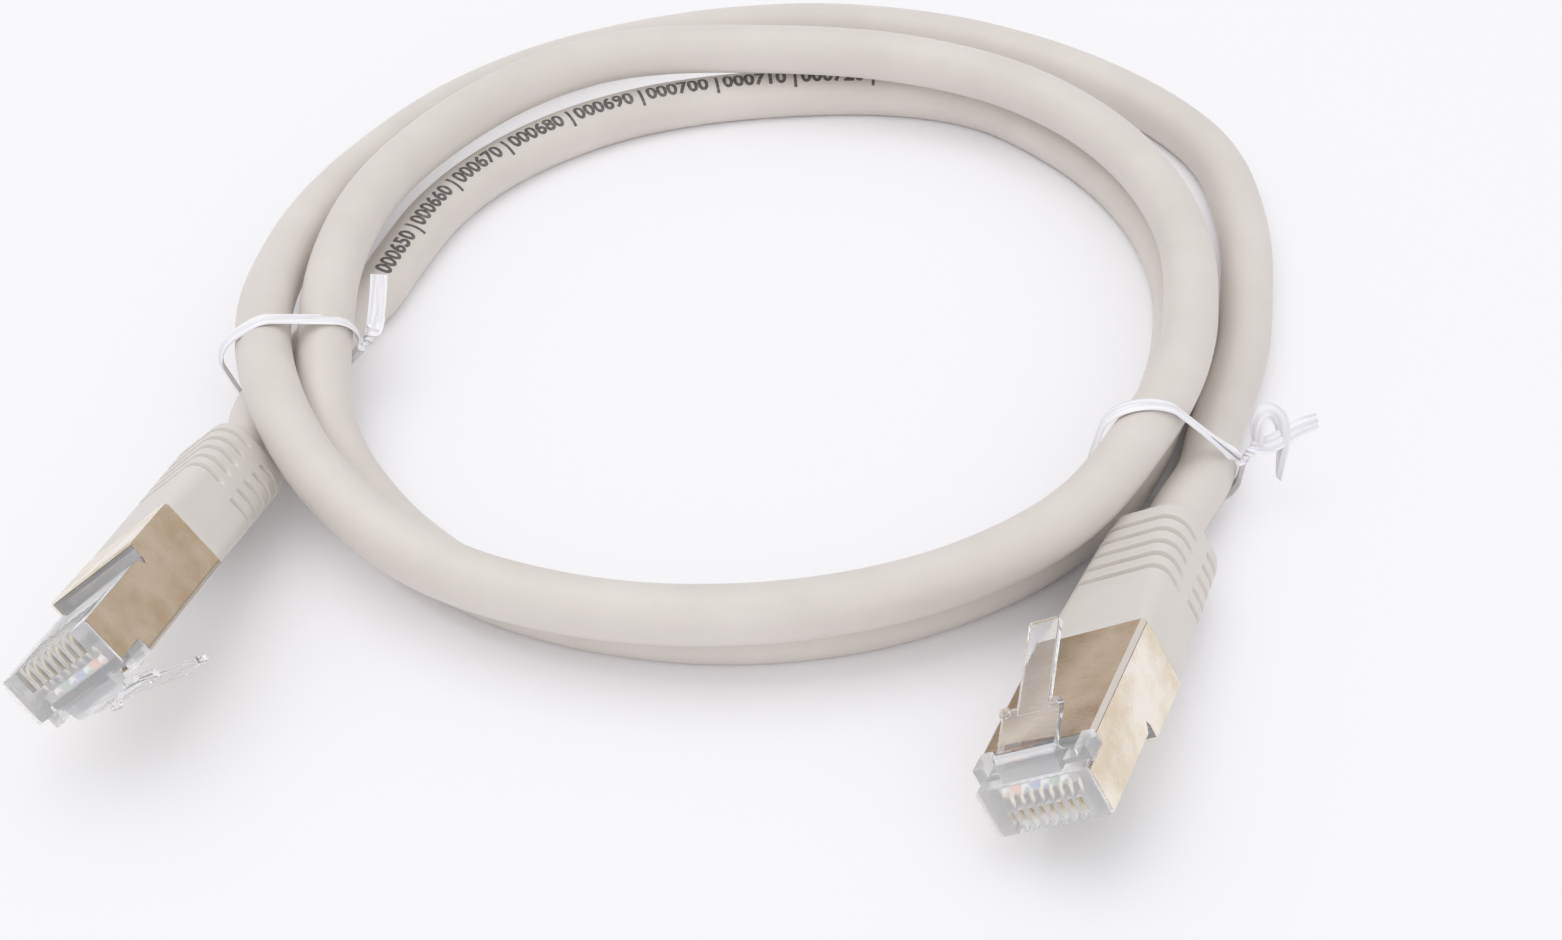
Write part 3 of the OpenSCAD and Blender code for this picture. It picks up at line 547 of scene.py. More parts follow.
def ribbon_tree():
    """Sweeps a ribbed ribbon along a line, its outer face turned to the line's away."""
    made = ShapeTree("Ribbon sweep", Width=FLOAT, Film=FLOAT, Bead=FLOAT, Rib=FLOAT,
                     Ring_spacing=FLOAT)
    tree, given = made.tree, made.given
    edges = put(tree, "GeometryNodeMeshToCurve", {"Mesh": given["Geometry"]})
    line = ringed(tree, edges.outputs[0], given["Ring spacing"])
    faced = put(tree, "GeometryNodeSetCurveNormal",
                {"Curve": line, "Normal": stored_value(tree, "away", "FLOAT_VECTOR")}, mode="FREE")
    circle = put(tree, "GeometryNodeCurvePrimitiveCircle", {"Resolution": 36, "Radius": 1.0},
                 mode="RADIUS")
    parts = position_parts(tree)
    across = parts["X"]
    section = stored(tree, circle.outputs[0], "across", across)
    near = maths(tree, "MULTIPLY", maths(tree, "MULTIPLY", across, across), -BEAD_NARROWNESS)
    bead = maths(tree, "MULTIPLY", maths(tree, "EXPONENT", near), given["Bead"])
    wave = maths(tree, "COSINE", maths(tree, "MULTIPLY", across, RIB_CLOSENESS))
    rib = maths(tree, "MULTIPLY", wave, given["Rib"])
    thick = maths(tree, "ADD", maths(tree, "ADD", given["Film"], bead), rib)
    depth = maths(tree, "MULTIPLY", maths(tree, "MULTIPLY", parts["Y"], thick), 0.5)
    breadth = maths(tree, "MULTIPLY", maths(tree, "MULTIPLY", across, given["Width"]), 0.5)
    place = put(tree, "ShaderNodeCombineXYZ", {"X": depth, "Y": breadth})
    shaped = put(tree, "GeometryNodeSetPosition",
                 {"Geometry": section, "Position": place.outputs[0]})
    skin = put(tree, "GeometryNodeCurveToMesh",
               {"Curve": faced.outputs[0], "Profile Curve": shaped.outputs[0],
                "Scale": stored_value(tree, "width_share"), "Fill Caps": True})
    smooth = put(tree, "GeometryNodeSetShadeSmooth", {"Geometry": skin.outputs[0]})
    return made.end(smooth.outputs[0])


def row_tree():
    """Repeats a piece along X about the middle of a plug."""
    made = ShapeTree("Contact row", Count="NodeSocketInt", Pitch=FLOAT)
    tree, given = made.tree, made.given
    half = maths(tree, "MULTIPLY", maths(tree, "SUBTRACT", given["Count"], 1.0), -0.5)
    first = put(tree, "ShaderNodeCombineXYZ", {"X": maths(tree, "MULTIPLY", half, given["Pitch"])})
    step = put(tree, "ShaderNodeCombineXYZ", {"X": given["Pitch"]})
    places = put(tree, "GeometryNodeMeshLine",
                 {"Count": given["Count"], "Start Location": first.outputs[0],
                  "Offset": step.outputs[0]}, mode="OFFSET")
    row = put(tree, "GeometryNodeInstanceOnPoints",
              {"Points": places.outputs[0], "Instance": given["Geometry"]})
    return made.end(row.outputs[0])


def shape_tree(build):
    """The tree that a function builds, made once."""
    name = build.__name__
    if name not in bpy.data.node_groups:
        build().name = name
    return bpy.data.node_groups[name]


def grown(source, build, name, material, **inputs):
    """Runs a shape tree on a source object, and leaves only the mesh it makes."""
    tree = shape_tree(build)
    modifier = source.modifiers.new("Shape", "NODES")
    modifier.node_group = tree
    inputs["Material"] = material
    for item in tree.interface.items_tree:
        if item.in_out == "INPUT" and item.name.replace(" ", "_") in inputs:
            modifier[item.identifier] = inputs[item.name.replace(" ", "_")]
    evaluated = source.evaluated_get(bpy.context.evaluated_depsgraph_get())
    mesh = bpy.data.meshes.new_from_object(evaluated)
    mesh.name = name
    source.modifiers.remove(modifier)
    bpy.data.objects.remove(source)
    return link_new(name, mesh)


# Meshes -----------------------------------------------------------------------------------------


def link_new(name, data, material=None):
    made = bpy.data.objects.new(name, data)
    bpy.context.scene.collection.objects.link(made)
    if material is not None:
        data.materials.clear()
        data.materials.append(material)
    return made


def line_object(name, points):
    """A curve object of one open spline through points."""
    curve = bpy.data.curves.new(name, "CURVE")
    curve.dimensions = "3D"
    spline = curve.splines.new("POLY")
    spline.points.add(len(points) - 1)
    for point, place in zip(spline.points, points):
        point.co = (*place, 1)
    return link_new(name, curve)


def faced_line(name, path):
    """A line of edges that carries, at each point, the way a ribbon faces and its width."""
    mesh = bpy.data.meshes.new(name)
    points = [tuple(point) for point, face, width in path]
    mesh.from_pydata(points, [(i, i + 1) for i in range(len(path) - 1)], [])
    away = mesh.attributes.new("away", "FLOAT_VECTOR", "POINT")
    away.data.foreach_set("vector", [part for point, face, width in path for part in face])
    share = mesh.attributes.new("width_share", "FLOAT", "POINT")
    share.data.foreach_set("value", [width for point, face, width in path])
    return link_new(name, mesh)


def mesh_object(name, vertices, faces, material):
    mesh = bpy.data.meshes.new(name)
    mesh.from_pydata([tuple(v) for v in vertices], [], faces)
    mesh.validate()
    return link_new(name, mesh, material)


def merged_copy(name, node, material):
    """A copy of a CAD node's mesh with its loose triangles joined into flat faces."""
    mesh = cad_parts[node].data.copy()
    mesh.name = name
    shape = bmesh.new()
    shape.from_mesh(mesh)
    bmesh.ops.remove_doubles(shape, verts=shape.verts, dist=1e-6)
    bmesh.ops.dissolve_limit(
        shape, angle_limit=radians(1), verts=shape.verts, edges=shape.edges,
        use_dissolve_boundaries=False,
    )
    shape.to_mesh(mesh)
    shape.free()
    return link_new(name, mesh, material)


def round_edges(piece, width):
    bevel = piece.modifiers.new("Rounded edges", "BEVEL")
    bevel.width = width
    bevel.segments = 2
    bevel.limit_method = "ANGLE"
    bevel.angle_limit = radians(30)
    bevel.use_clamp_overlap = True
    bevel.miter_outer = "MITER_ARC"
    return piece


def shade_smooth(piece, angle=35):
    piece.data.shade_smooth()
    piece.data.set_sharp_from_angle(angle=radians(angle))
    return piece


def carry(piece, slot_name, *nodes, body=CABLE):
    """The piece rides on its body and stands for CAD nodes."""
    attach(piece, body)
    if nodes:
        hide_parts(*nodes)
    return piece


# Materials --------------------------------------------------------------------------------------


class Finish:
    """A material with one Principled shader, and helpers for its patterns."""

    def __init__(self, name, **sockets):
        self.material = bpy.data.materials.new(name)
        self.material.use_nodes = True
        self.tree = self.material.node_tree
        self.shader = next(n for n in self.tree.nodes if n.type == "BSDF_PRINCIPLED")
        for label, value in sockets.items():
            socket = self.shader.inputs[label.replace("_", " ")]
            socket.default_value = (*value, 1) if socket.type == "RGBA" else value
        self.place = put(self.tree, "ShaderNodeTexCoord").outputs["Object"]

    def attribute(self, name, output="Fac"):
        """What is stored on the mesh under a name."""
        return put(self.tree, "ShaderNodeAttribute", attribute_name=name).outputs[output]

    def noise(self, size, detail=2.0, stretch=(1, 1, 1), place=None):
        mapped = put(self.tree, "ShaderNodeMapping",
                     {"Vector": place or self.place, "Scale": stretch})
        return put(self.tree, "ShaderNodeTexNoise",
                   {"Vector": mapped.outputs[0], "Scale": 1 / size, "Detail": detail}
                   ).outputs["Fac"]

    def between(self, factor, low, high, start=0.35, end=0.65):
        """A colour ramp between two colours."""
        ramp = put(self.tree, "ShaderNodeValToRGB", {"Fac": factor})
        first, last = ramp.color_ramp.elements
        first.position, first.color = start, (*low, 1)
        last.position, last.color = end, (*high, 1)
        return ramp.outputs["Color"]

    def spread(self, factor, low, high):
        """A number between low and high."""
        return put(self.tree, "ShaderNodeMapRange",
                   {"Value": factor, "To Min": low, "To Max": high}).outputs[0]

    def link(self, label, value):
        self.tree.links.new(value, self.shader.inputs[label])
        return self

    def bump(self, height, distance, strength):
        bump = put(self.tree, "ShaderNodeBump",
                   {"Height": height, "Distance": distance, "Strength": strength})
        return self.link("Normal", bump.outputs[0])

    def mixed(self, share, low, high):
        """One of two colours, or a mix of them by a share."""
        return put(self.tree, "ShaderNodeMix", {0: share, 6: low, 7: high},
                   data_type="RGBA").outputs[2]

    def give_way(self, share, other):
        """Shows another shader in place of this one, by a share."""
        both = put(self.tree, "ShaderNodeMixShader",
                   {"Fac": share, 1: self.shader.outputs[0], 2: other})
        end = next(n for n in self.tree.nodes if n.type == "OUTPUT_MATERIAL")
        self.tree.links.new(both.outputs[0], end.inputs["Surface"])


def made_once(build):
    """Where a material of the name is there already, it's used again."""

    def find_or_build(name, *values, **more):
        return bpy.data.materials.get(name) or build(name, *values, **more)

    return find_or_build


@made_once
def soft_vinyl(name, colour_high, colour_low):
    """Satin vinyl with a faint cloudiness and a fine moulded grain."""
    finish = Finish(name, Roughness=0.4, Subsurface_Weight=0.12, Subsurface_Scale=0.0012)
    finish.shader.inputs["Subsurface Radius"].default_value = (1.0, 0.8, 0.65)
    clouds = finish.noise(0.011, 3.0)
    finish.link("Base Color", finish.between(clouds, colour_low, colour_high))
    finish.link("Roughness", finish.spread(finish.noise(0.0035, 2.0), 0.36, 0.5))
    finish.bump(finish.noise(0.00028, 2.0), 0.000012, 0.5)
    return finish.material


@made_once
def clear_moulding(name, tint, milk=0.08, bend=1.46, gloss=0.0, walls=8):
    """Clear plastic with a trace of milk and faint flow marks. Light passes to what is inside,
    and a look through many walls doesn't go dark."""
    finish = Finish(name, Base_Color=tint, Transmission_Weight=1 - milk, IOR=bend,
                    Coat_Weight=gloss, Coat_Roughness=0.03)
    tree = finish.tree
    finish.link("Roughness", finish.spread(finish.noise(0.002, 2.0), 0.015, 0.06))
    finish.bump(finish.noise(0.0011, 2.0), 0.00003, 0.4)
    path = put(tree, "ShaderNodeLightPath").outputs
    lighting = maths(tree, "MAXIMUM", path["Is Shadow Ray"], path["Is Diffuse Ray"])
    deep = maths(tree, "GREATER_THAN", path["Transmission Depth"], walls - 0.5)
    open_way = put(tree, "ShaderNodeBsdfTransparent", {"Color": OPEN_WAY})
    finish.give_way(maths(tree, "MAXIMUM", lighting, deep), open_way.outputs[0])
    return finish.material


@made_once
def plated_sheet(name, plug):
    """Gold-toned plated sheet: cloudy plating over drawn lines, with a painted highlight along the
    folds. The right side and the contact face are painted paler, as a painted reflection."""
    finish = Finish(name, Metallic=1.0)
    tree = finish.tree
    local = finish.attribute("plug_place", "Vector")
    clouds = finish.noise(0.0042, 5.0, place=local)
    lines = finish.noise(0.0012, 4.0, (1.0, 9.0, 2.0), place=local)
    tarnish = maths(tree, "ADD", maths(tree, "MULTIPLY", clouds, CLOUD_SHARE),
                    maths(tree, "MULTIPLY", lines, 1 - CLOUD_SHARE))
    brown = finish.between(tarnish, plug.sheet_stain, plug.sheet, *TARNISH_SPAN)
    # The sheet's colour under a painted reflection, with the same patches
    pale = finish.between(tarnish, plug.pale_stain, plug.pale, *TARNISH_SPAN)
    parts = put(tree, "ShaderNodeSeparateXYZ", {0: local}).outputs
    across = maths(tree, "ABSOLUTE", parts["X"])
    to_side = maths(tree, "SUBTRACT", plug.width / 2, across)
    # Where the reflection is painted: the right side, and the contact face clear of the sides
    right = maths(tree, "GREATER_THAN", parts["X"], plug.width / 2 - SIDE_DEPTH)
    inward = maths(tree, "GREATER_THAN", to_side, SIDE_DEPTH)
    under = maths(tree, "LESS_THAN", parts["Z"], SIDE_DEPTH)
    painted_reflection_mask = maths(tree, "MAXIMUM", right, maths(tree, "MULTIPLY", inward, under))
    # The plating, painted paler where the reflection is painted
    plating_and_painted_reflection = finish.mixed(painted_reflection_mask, brown, pale)
    # A painted highlight in a band along the folded long edges
    to_top = maths(tree, "SUBTRACT", plug.height, parts["Z"])
    to_fold = maths(tree, "MAXIMUM", to_side, to_top)
    fold_highlight = maths(tree, "LESS_THAN", to_fold, FOLD_HIGHLIGHT_WIDTH)
    seam_from = maths(tree, "LESS_THAN", to_side, SEAM_REACH)
    seam_near = maths(tree, "COMPARE", to_top, FOLD_HIGHLIGHT_WIDTH + SEAM_WIDTH / 2, SEAM_WIDTH / 2)
    seam = maths(tree, "MULTIPLY", seam_from, seam_near)
    # The sheet with its painted fold highlight laid on
    worn_and_highlit = finish.mixed(fold_highlight, plating_and_painted_reflection, (*plug.fold_highlight, 1))
    finish.link("Base Color", finish.mixed(seam, worn_and_highlit, (*SEAM_COLOUR, 1)))
    finish.link("Roughness", finish.spread(lines, 0.12, 0.36))
    height = maths(tree, "SUBTRACT", maths(tree, "MULTIPLY", lines, 0.25), seam)
    finish.bump(height, 0.00005, 0.4)
    return finish.material


@made_once
def plated_contact(name, plug):
    finish = Finish(name, Metallic=1.0)
    wiped = finish.noise(0.0006, 3.0)
    finish.link("Base Color", finish.between(wiped, tuple(0.8 * c for c in plug.gold), plug.gold))
    finish.link("Roughness", finish.spread(wiped, 0.18, 0.36))
    finish.bump(wiped, 0.000006, 0.4)
    return finish.material


@made_once
def bare_metal(name, tint, rough_low, rough_high, grain):
    finish = Finish(name, Metallic=1.0)
    drawn = finish.noise(grain, 3.0)
    finish.link("Base Color", finish.between(drawn, tuple(0.82 * c for c in tint), tint))
    finish.link("Roughness", finish.spread(drawn, rough_low, rough_high))
    finish.bump(drawn, grain * 0.03, 0.5)
    return finish.material


@made_once
def insulation(name, ground, stripe):
    """A wire's thin insulation, with its stripe winding round where it has one."""
    finish = Finish(name, Roughness=0.35, Subsurface_Weight=0.1, Subsurface_Scale=0.0004)
    tree = finish.tree
    run = maths(tree, "MULTIPLY", finish.attribute("along"), 1 / STRIPE_LAY)
    wound = maths(tree, "ADD", run, finish.attribute("around"))
    band = maths(tree, "FRACT", wound)
    finish.link("Base Color", finish.between(band, stripe, ground, 0.27, 0.3))
    finish.link("Roughness", finish.spread(finish.noise(0.0012, 2.0), 0.3, 0.45))
    finish.bump(finish.noise(0.0004, 2.0), 0.000008, 0.4)
    return finish.material


@made_once
def printed_ink(name, tint):
    finish = Finish(name)
    worn_and_highlit = finish.noise(0.0005, 3.0)
    faded = tuple(c + 0.16 for c in tint)
    finish.link("Base Color", finish.between(worn_and_highlit, faded, tint, 0.25, 0.5))
    finish.link("Roughness", finish.spread(worn_and_highlit, 0.35, 0.6))
    return finish.material


@made_once
def tie_film(name, ties):
    """Milky film with streaks along it, slightly crumpled."""
    finish = Finish(name, IOR=1.45, Coat_Weight=0.5, Coat_Roughness=0.12)
    tree = finish.tree
    lay = put(tree, "ShaderNodeCombineXYZ",
              {"X": maths(tree, "MULTIPLY", finish.attribute("across"), 2.6),
               "Y": maths(tree, "MULTIPLY", finish.attribute("along"), 1 / STRIPE_LAY)})
    streaks = finish.noise(1.0, 3.0, place=lay.outputs[0])
    finish.link("Base Color", finish.between(streaks, ties.shade, ties.film, 0.36, 0.56))
    finish.link("Roughness", finish.spread(streaks, 0.22, 0.4))
    finish.bump(finish.noise(0.0011, 2.0), 0.00005, 0.5)
    return finish.material


# Stage ------------------------------------------------------------------------------------------


def floor_card(stage):
    """Matt white card. The camera, also through clear plastic and by way of metal, sees its
    shadows thinned, as on a card lit from behind."""
    finish = Finish("floor card", Roughness=0.8, Specular_IOR_Level=0.2)
    tree = finish.tree
    tone = finish.noise(0.3, 2.0)
    darker = tuple(0.99 * c for c in stage.floor)
    finish.link("Base Color", finish.between(tone, darker, stage.floor))
    finish.bump(finish.noise(0.0006, 2.0), 0.00001, 0.3)
    glow = put(tree, "ShaderNodeEmission", {"Color": (*stage.floor, 1)})
    open_sky = put(tree, "ShaderNodeAmbientOcclusion", {"Distance": GLOW_CLEARANCE}, samples=8)
    clear = maths(tree, "POWER", open_sky.outputs["AO"], GLOW_FALL)
    share = maths(tree, "MULTIPLY", maths(tree, "MULTIPLY", background_seen(tree), clear),
                  stage.glow)
    finish.give_way(share, glow.outputs[0])
    return finish.material


def studio_sky(stage):
    """Even light all round. The camera, clear plastic and metal see the white background."""
    world = bpy.data.worlds.new("studio sky")
    world.use_nodes = True
    tree = world.node_tree
    tree.nodes.clear()
    way = put(tree, "ShaderNodeSeparateXYZ",
              {0: put(tree, "ShaderNodeTexCoord").outputs["Generated"]})
    rise = put(tree, "ShaderNodeMapRange",
               {"Value": way.outputs["Z"], "From Min": 0.0, "From Max": SKY_HIGH_AT,
                "To Min": SKY_LOW * stage.sky, "To Max": SKY_HIGH * stage.sky})
    light = put(tree, "ShaderNodeBackground", {"Color": SKY_TINT, "Strength": rise.outputs[0]})
    white = put(tree, "ShaderNodeBackground", {"Color": (*stage.floor, 1)})
    both = put(tree, "ShaderNodeMixShader",
               {"Fac": background_seen(tree), 1: light.outputs[0], 2: white.outputs[0]})
    put(tree, "ShaderNodeOutputWorld", {"Surface": both.outputs[0]})
    return world


def lamp(name, place, aim, size, power):
    """A square soft lamp at a place, facing its aim."""
    light = bpy.data.lights.new(name, "AREA")
    light.size = size
    light.energy = power
    made = link_new(name, light)
    made.location = place
    made.rotation_euler = (Vector(aim) - Vector(place)).to_track_quat("-Z", "Y").to_euler()


def studio_camera(stage):
    """The camera looks down at the front of the coil from its elevation."""
    lens = bpy.data.cameras.new("camera")
    lens.lens = stage.lens
    lens.sensor_width = 36
    lens.clip_start = 0.01
    camera = link_new("camera", lens)
    rise, away = sin(stage.camera_height), cos(stage.camera_height)
    aim = Vector(CAMERA_AIM)
    camera.location = aim + stage.camera_distance * Vector((0, -away, rise))
    camera.rotation_euler = (aim - camera.location).to_track_quat("-Z", "Y").to_euler()
    bpy.context.scene.camera = camera


def studio_floor(stage):
    half = stage.floor_size / 2
    corners = [(-half, -half), (half, -half), (half, half), (-half, half)]
    card = mesh_object("floor", [(x, y, -0.02 * MM) for x, y in corners], [(0, 1, 2, 3)],
                       floor_card(stage))


# Cord -------------------------------------------------------------------------------------------


def jacket_mesh():
    """The whole jacket, from inside one plug to inside the other."""
    cord = bpy.context.scene.patch_cord
    return grown(
        line_object("jacket line", cord_line()), sweep_tree, "jacket",
        soft_vinyl("jacket vinyl", cord.jacket, cord.jacket_shade),
        Radius=cord.diameter / 2, Sides=cord.sides, Ring_spacing=cord.ring_spacing,
        Lump_height=cord.lump_height, Lump_length=0.014, Twist_length=0.05, Lowest=0.0,
    )


def flat_text(text, height):
    """The mesh of a line of digits, centred on its own origin and cut fine enough to bend."""
    curve = bpy.data.curves.new("digits", "FONT")
    curve.body = text
    curve.size = height / CAPITAL_PER_SIZE
    curve.align_x, curve.align_y = "CENTER", "CENTER"
    curve.resolution_u = 3
    curve.offset = STROKE_WEIGHT * curve.size
    holder = link_new("digits", curve)
    evaluated = holder.evaluated_get(bpy.context.evaluated_depsgraph_get())
    mesh = bpy.data.meshes.new_from_object(evaluated)
    bpy.data.objects.remove(holder)
    bpy.data.curves.remove(curve)
    shape = bmesh.new()
    shape.from_mesh(mesh)
    bmesh.ops.triangulate(shape, faces=shape.faces)
    for _ in range(3):
        long_edges = [e for e in shape.edges if e.calc_length() > LONGEST_MARK_EDGE]
        bmesh.ops.subdivide_edges(shape, edges=long_edges, cuts=1)
        bmesh.ops.triangulate(shape, faces=shape.faces)
    vertices = [vertex.co.copy() for vertex in shape.verts]
    faces = [[vertex.index for vertex in face.verts] for face in shape.faces]
    shape.free()
    bpy.data.meshes.remove(mesh)
    return vertices, faces


def heading_at(line, i):
    return (line[min(i + 1, len(line) - 1)] - line[max(i - 1, 0)]).normalized()


def place_along(line, reached, at):
    """The middle of a line and its heading at a length along it."""
    i = min(bisect_right(reached, at), len(line) - 1)
    share = (at - reached[i - 1]) / (reached[i] - reached[i - 1])
    heading = heading_at(line, i - 1).lerp(heading_at(line, i), share).normalized()
    return line[i - 1].lerp(line[i], share), heading


def printed_marks(jacket):
    """Length numbers in a row along the top of the last turn, bent round the jacket."""
    cord = bpy.context.scene.patch_cord
    skin = BVHTree.FromObject(jacket, bpy.context.evaluated_depsgraph_get())
    line = cord_line()
    reached = [0.0] + list(accumulate((b - a).length for a, b in zip(line, line[1:])))
    vertices, faces = [], []
    for k in range(MARK_COUNT):
        start = MARKS_FROM + k * MARK_STEP
        number = FIRST_MARK + k * round(MARK_STEP / MM)
        flat, flat_faces = flat_text(f"{number:06d} |", cord.mark_height)
        faces += [[len(vertices) + i for i in face] for face in flat_faces]
        for point in flat:
            middle, heading = place_along(line, reached, start + point.x)
            inward = heading.cross(Vector((0, 0, 1))).normalized()
            lean = MARK_LEAN - point.y / (cord.diameter / 2)
            out = inward * sin(lean) + Vector((0, 0, cos(lean)))
            hit = skin.ray_cast(middle, out)[0]
            vertices.append(hit + INK_LIFT * out)
    ink = printed_ink("jacket print", cord.mark_ink)
    return mesh_object("length_marks", vertices, faces, ink)


# Boots ------------------------------------------------------------------------------------------


def rounded_section(half_width, half_height, corner, arc_steps=12, side_steps=14):
    """Points round a rounded rectangle, as many on each corner whatever its size."""
    ring = []
    for side_x, side_z, start in ((1, 1, 0), (-1, 1, 90), (-1, -1, 180), (1, -1, 270)):
        middle = Vector((side_x * (half_width - corner), side_z * (half_height - corner)))
        for k in range(arc_steps + 1):
            turn = radians(start + 90 * k / arc_steps)
            ring.append(middle + corner * Vector((cos(turn), sin(turn))))
    full = []
    for i, point in enumerate(ring):
        full.append(point)
        if i % (arc_steps + 1) == arc_steps:
            beyond = ring[(i + 1) % len(ring)]
            full += [point.lerp(beyond, k / side_steps) for k in range(1, side_steps)]
    return full


def hollow_at(distance, half_width):
    """How deep a round-bottomed groove is at a distance from its middle, from 0 to 1."""
    share = min(1.0, abs(distance) / half_width)
    return sqrt(1 - share * share)


def ramp(value, start, end):
    t = min(1.0, max(0.0, (value - start) / (end - start)))
    return t * t * (3 - 2 * t)


def boot_sink(boot, back, z):
    """How far the boot's skin is sunk at a distance behind the shield and a height."""
    edge = boot.band / 2
    above = ramp(abs(z), edge - GROOVE_STARTS, edge + GROOVE_IS_FULL)
    shift = 0.0 if z > 0 else boot.groove_pitch * LOWER_GROOVES_BACK
    near = (back - boot.groove_at - shift) / boot.groove_pitch
    groove = min(max(round(near), 0), boot.groove_count - 1)
    distance = (near - groove) * boot.groove_pitch
    return boot.groove_depth * above * hollow_at(distance, GROOVE_HALF * boot.groove_width)


def boot_rows(plug, boot):
    """Distance behind the shield, half width, half height and corner radius of each ring."""
    front = (plug.width / 2, (plug.height + plug.rear_drop) / 2, BOOT_FRONT_CORNER)
    rim_back = boot.length - BOOT_RIM
    rim = (boot.end_width / 2, boot.end_width / 2, BOOT_END_CORNER)
    rows = []
    fine_from, fine_to = boot.groove_at - MM, rim_back
    backs = [0.0, BOOT_EDGE_BACK / 3, BOOT_EDGE_BACK] + [fine_from * k / 12 for k in range(1, 12)]
    fine_steps = round((fine_to - fine_from) / BOOT_RING_SPACING)
    backs += [fine_from + (fine_to - fine_from) * k / fine_steps for k in range(fine_steps + 1)]
    for back in sorted(backs):
        t = back / rim_back
        inset = BOOT_EDGE * (1 - sin(min(1.0, back / BOOT_EDGE_BACK) * pi / 2))
        rows.append((back, *(a + (b - a) * t - inset for a, b in zip(front, rim))))
    for k in range(1, 9):
        turn = k / 8 * pi / 2
        inset = BOOT_RIM_INSET * (1 - cos(turn))
        rows.append((rim_back + BOOT_RIM * sin(turn), *(size - inset for size in rim)))
    return rows


def boot_mesh(end):
    """A boot: one closed skin, down the outside and back through the hole for the jacket."""
    scene = bpy.context.scene
    plug, boot, cord = scene.patch_plug, scene.patch_boot, scene.patch_cord
    axis = plug_axis_height(plug)
    rings = []
    for back, half_width, half_height, corner in boot_rows(plug, boot):
        ring = []
        for point in rounded_section(half_width, half_height, corner):
            sunk = point * (1 - boot_sink(boot, back, point.y) / point.length)
            ring.append(Vector((sunk.x, plug.length + back, axis + sunk.y)))
        rings.append(ring)
    hole = cord.diameter / 2 + BOOT_CLEARANCE
    wide = CRIMP_OUT + BOOT_CLEARANCE / 2
    pocket = CRIMP_LENGTH + CRIMP_POCKET_SPARE
    spokes = [Vector((p.x, p.z - axis)).normalized() for p in rings[0]]
    for back, radius in ((boot.length - BOOT_LIP, hole + BOOT_MOUTH_FLARE),
                         (boot.length - BOOT_MOUTH, hole), (pocket, hole), (pocket, wide),
                         (BOOT_LIP, wide)):
        rings.append([Vector((radius * s.x, plug.length + back, axis + radius * s.y))
                      for s in spokes])
    count = len(rings[0])
    place = plug_place(end)
    vertices = [place @ point for ring in rings for point in ring]
    faces = [
        (i * count + j, i * count + (j + 1) % count,
         (i + 1) % len(rings) * count + (j + 1) % count, (i + 1) % len(rings) * count + j)
        for i in range(len(rings)) for j in range(count)
    ]
    made = mesh_object(f"boot_{end}_moulding", vertices, faces,
                       soft_vinyl("boot vinyl", boot.vinyl, boot.vinyl_shade))
    face_outwards(made)
    return shade_smooth(made, 50)


# Plugs ------------------------------------------------------------------------------------------


def face_outwards(piece):
    shape = bmesh.new()
    shape.from_mesh(piece.data)
    bmesh.ops.remove_doubles(shape, verts=shape.verts, dist=1e-7)
    bmesh.ops.recalc_face_normals(shape, faces=shape.faces)
    shape.to_mesh(piece.data)
    shape.free()


def note_plug_place(piece, end):
    """Stores where each point lies in its plug, for patterns that follow the plug."""
    inside = plug_place(end).inverted()
    store = piece.data.attributes.new("plug_place", "FLOAT_VECTOR", "POINT")
    for vertex, value in zip(piece.data.vertices, store.data):
        value.vector = inside @ vertex.co
    return piece


def contact_blade():
    """One contact, seen from the side: two points stand up into its wire."""
    outline = ((0.6, 1.1), (1.3, 0.3), (5.6, 0.3), (5.6, 2.4), (4.6, 2.4), (4.2, 3.425),
               (3.8, 2.4), (2.6, 2.4), (2.2, 3.425), (1.8, 2.4), (0.6, 2.4))
    half = BLADE_THICKNESS / 2
    shape = bmesh.new()
    walls = [[shape.verts.new((side * half, y * MM, z * MM)) for y, z in outline]
             for side in (-1, 1)]
    shape.faces.new(walls[0])
    shape.faces.new(walls[1][::-1])
    for i, start in enumerate(walls[0]):
        j = (i + 1) % len(outline)
        shape.faces.new((start, walls[1][i], walls[1][j], walls[0][j]))
    bmesh.ops.recalc_face_normals(shape, faces=shape.faces)
    bmesh.ops.bevel(shape, geom=shape.edges[:], offset=0.06 * MM, segments=2, affect="EDGES")
    mesh = bpy.data.meshes.new("blade")
    shape.to_mesh(mesh)
    shape.free()
    return link_new("blade", mesh)


def contact_row(end):
    plug = bpy.context.scene.patch_plug
    row = grown(contact_blade(), row_tree, f"contact_blades_{end}",
                plated_contact("contact gold", plug), Count=CONTACTS, Pitch=CONTACT_PITCH)
    row.data.transform(plug_place(end))
    return shade_smooth(row, 40)


def wire_points(end, i):
    """A wire's middle line: side by side under the contacts, then into the jacket."""
    plug = bpy.context.scene.patch_plug
    place = plug_place(end)
    start, bend_from, bend_to, last = WIRE_RUN
    straight = [start + (bend_from - start) * k / 8 for k in range(9)]
    bent = [bend_from + (bend_to - bend_from) * k / 10 for k in range(1, 11)]
    points = []
    for y in straight + bent + [last]:
        bend = ramp(y, bend_from, bend_to)
        x = (i - (CONTACTS - 1) / 2) * (CONTACT_PITCH * (1 - bend) + WIRE_CLOSE_PITCH * bend)
        side = WIRE_ROW_RISE if i % 2 == 0 else -WIRE_ROW_RISE
        z = WIRE_HEIGHT * (1 - bend) + (plug_axis_height(plug) + side) * bend
        points.append(place @ Vector((x, y * MM, z)))
    return points


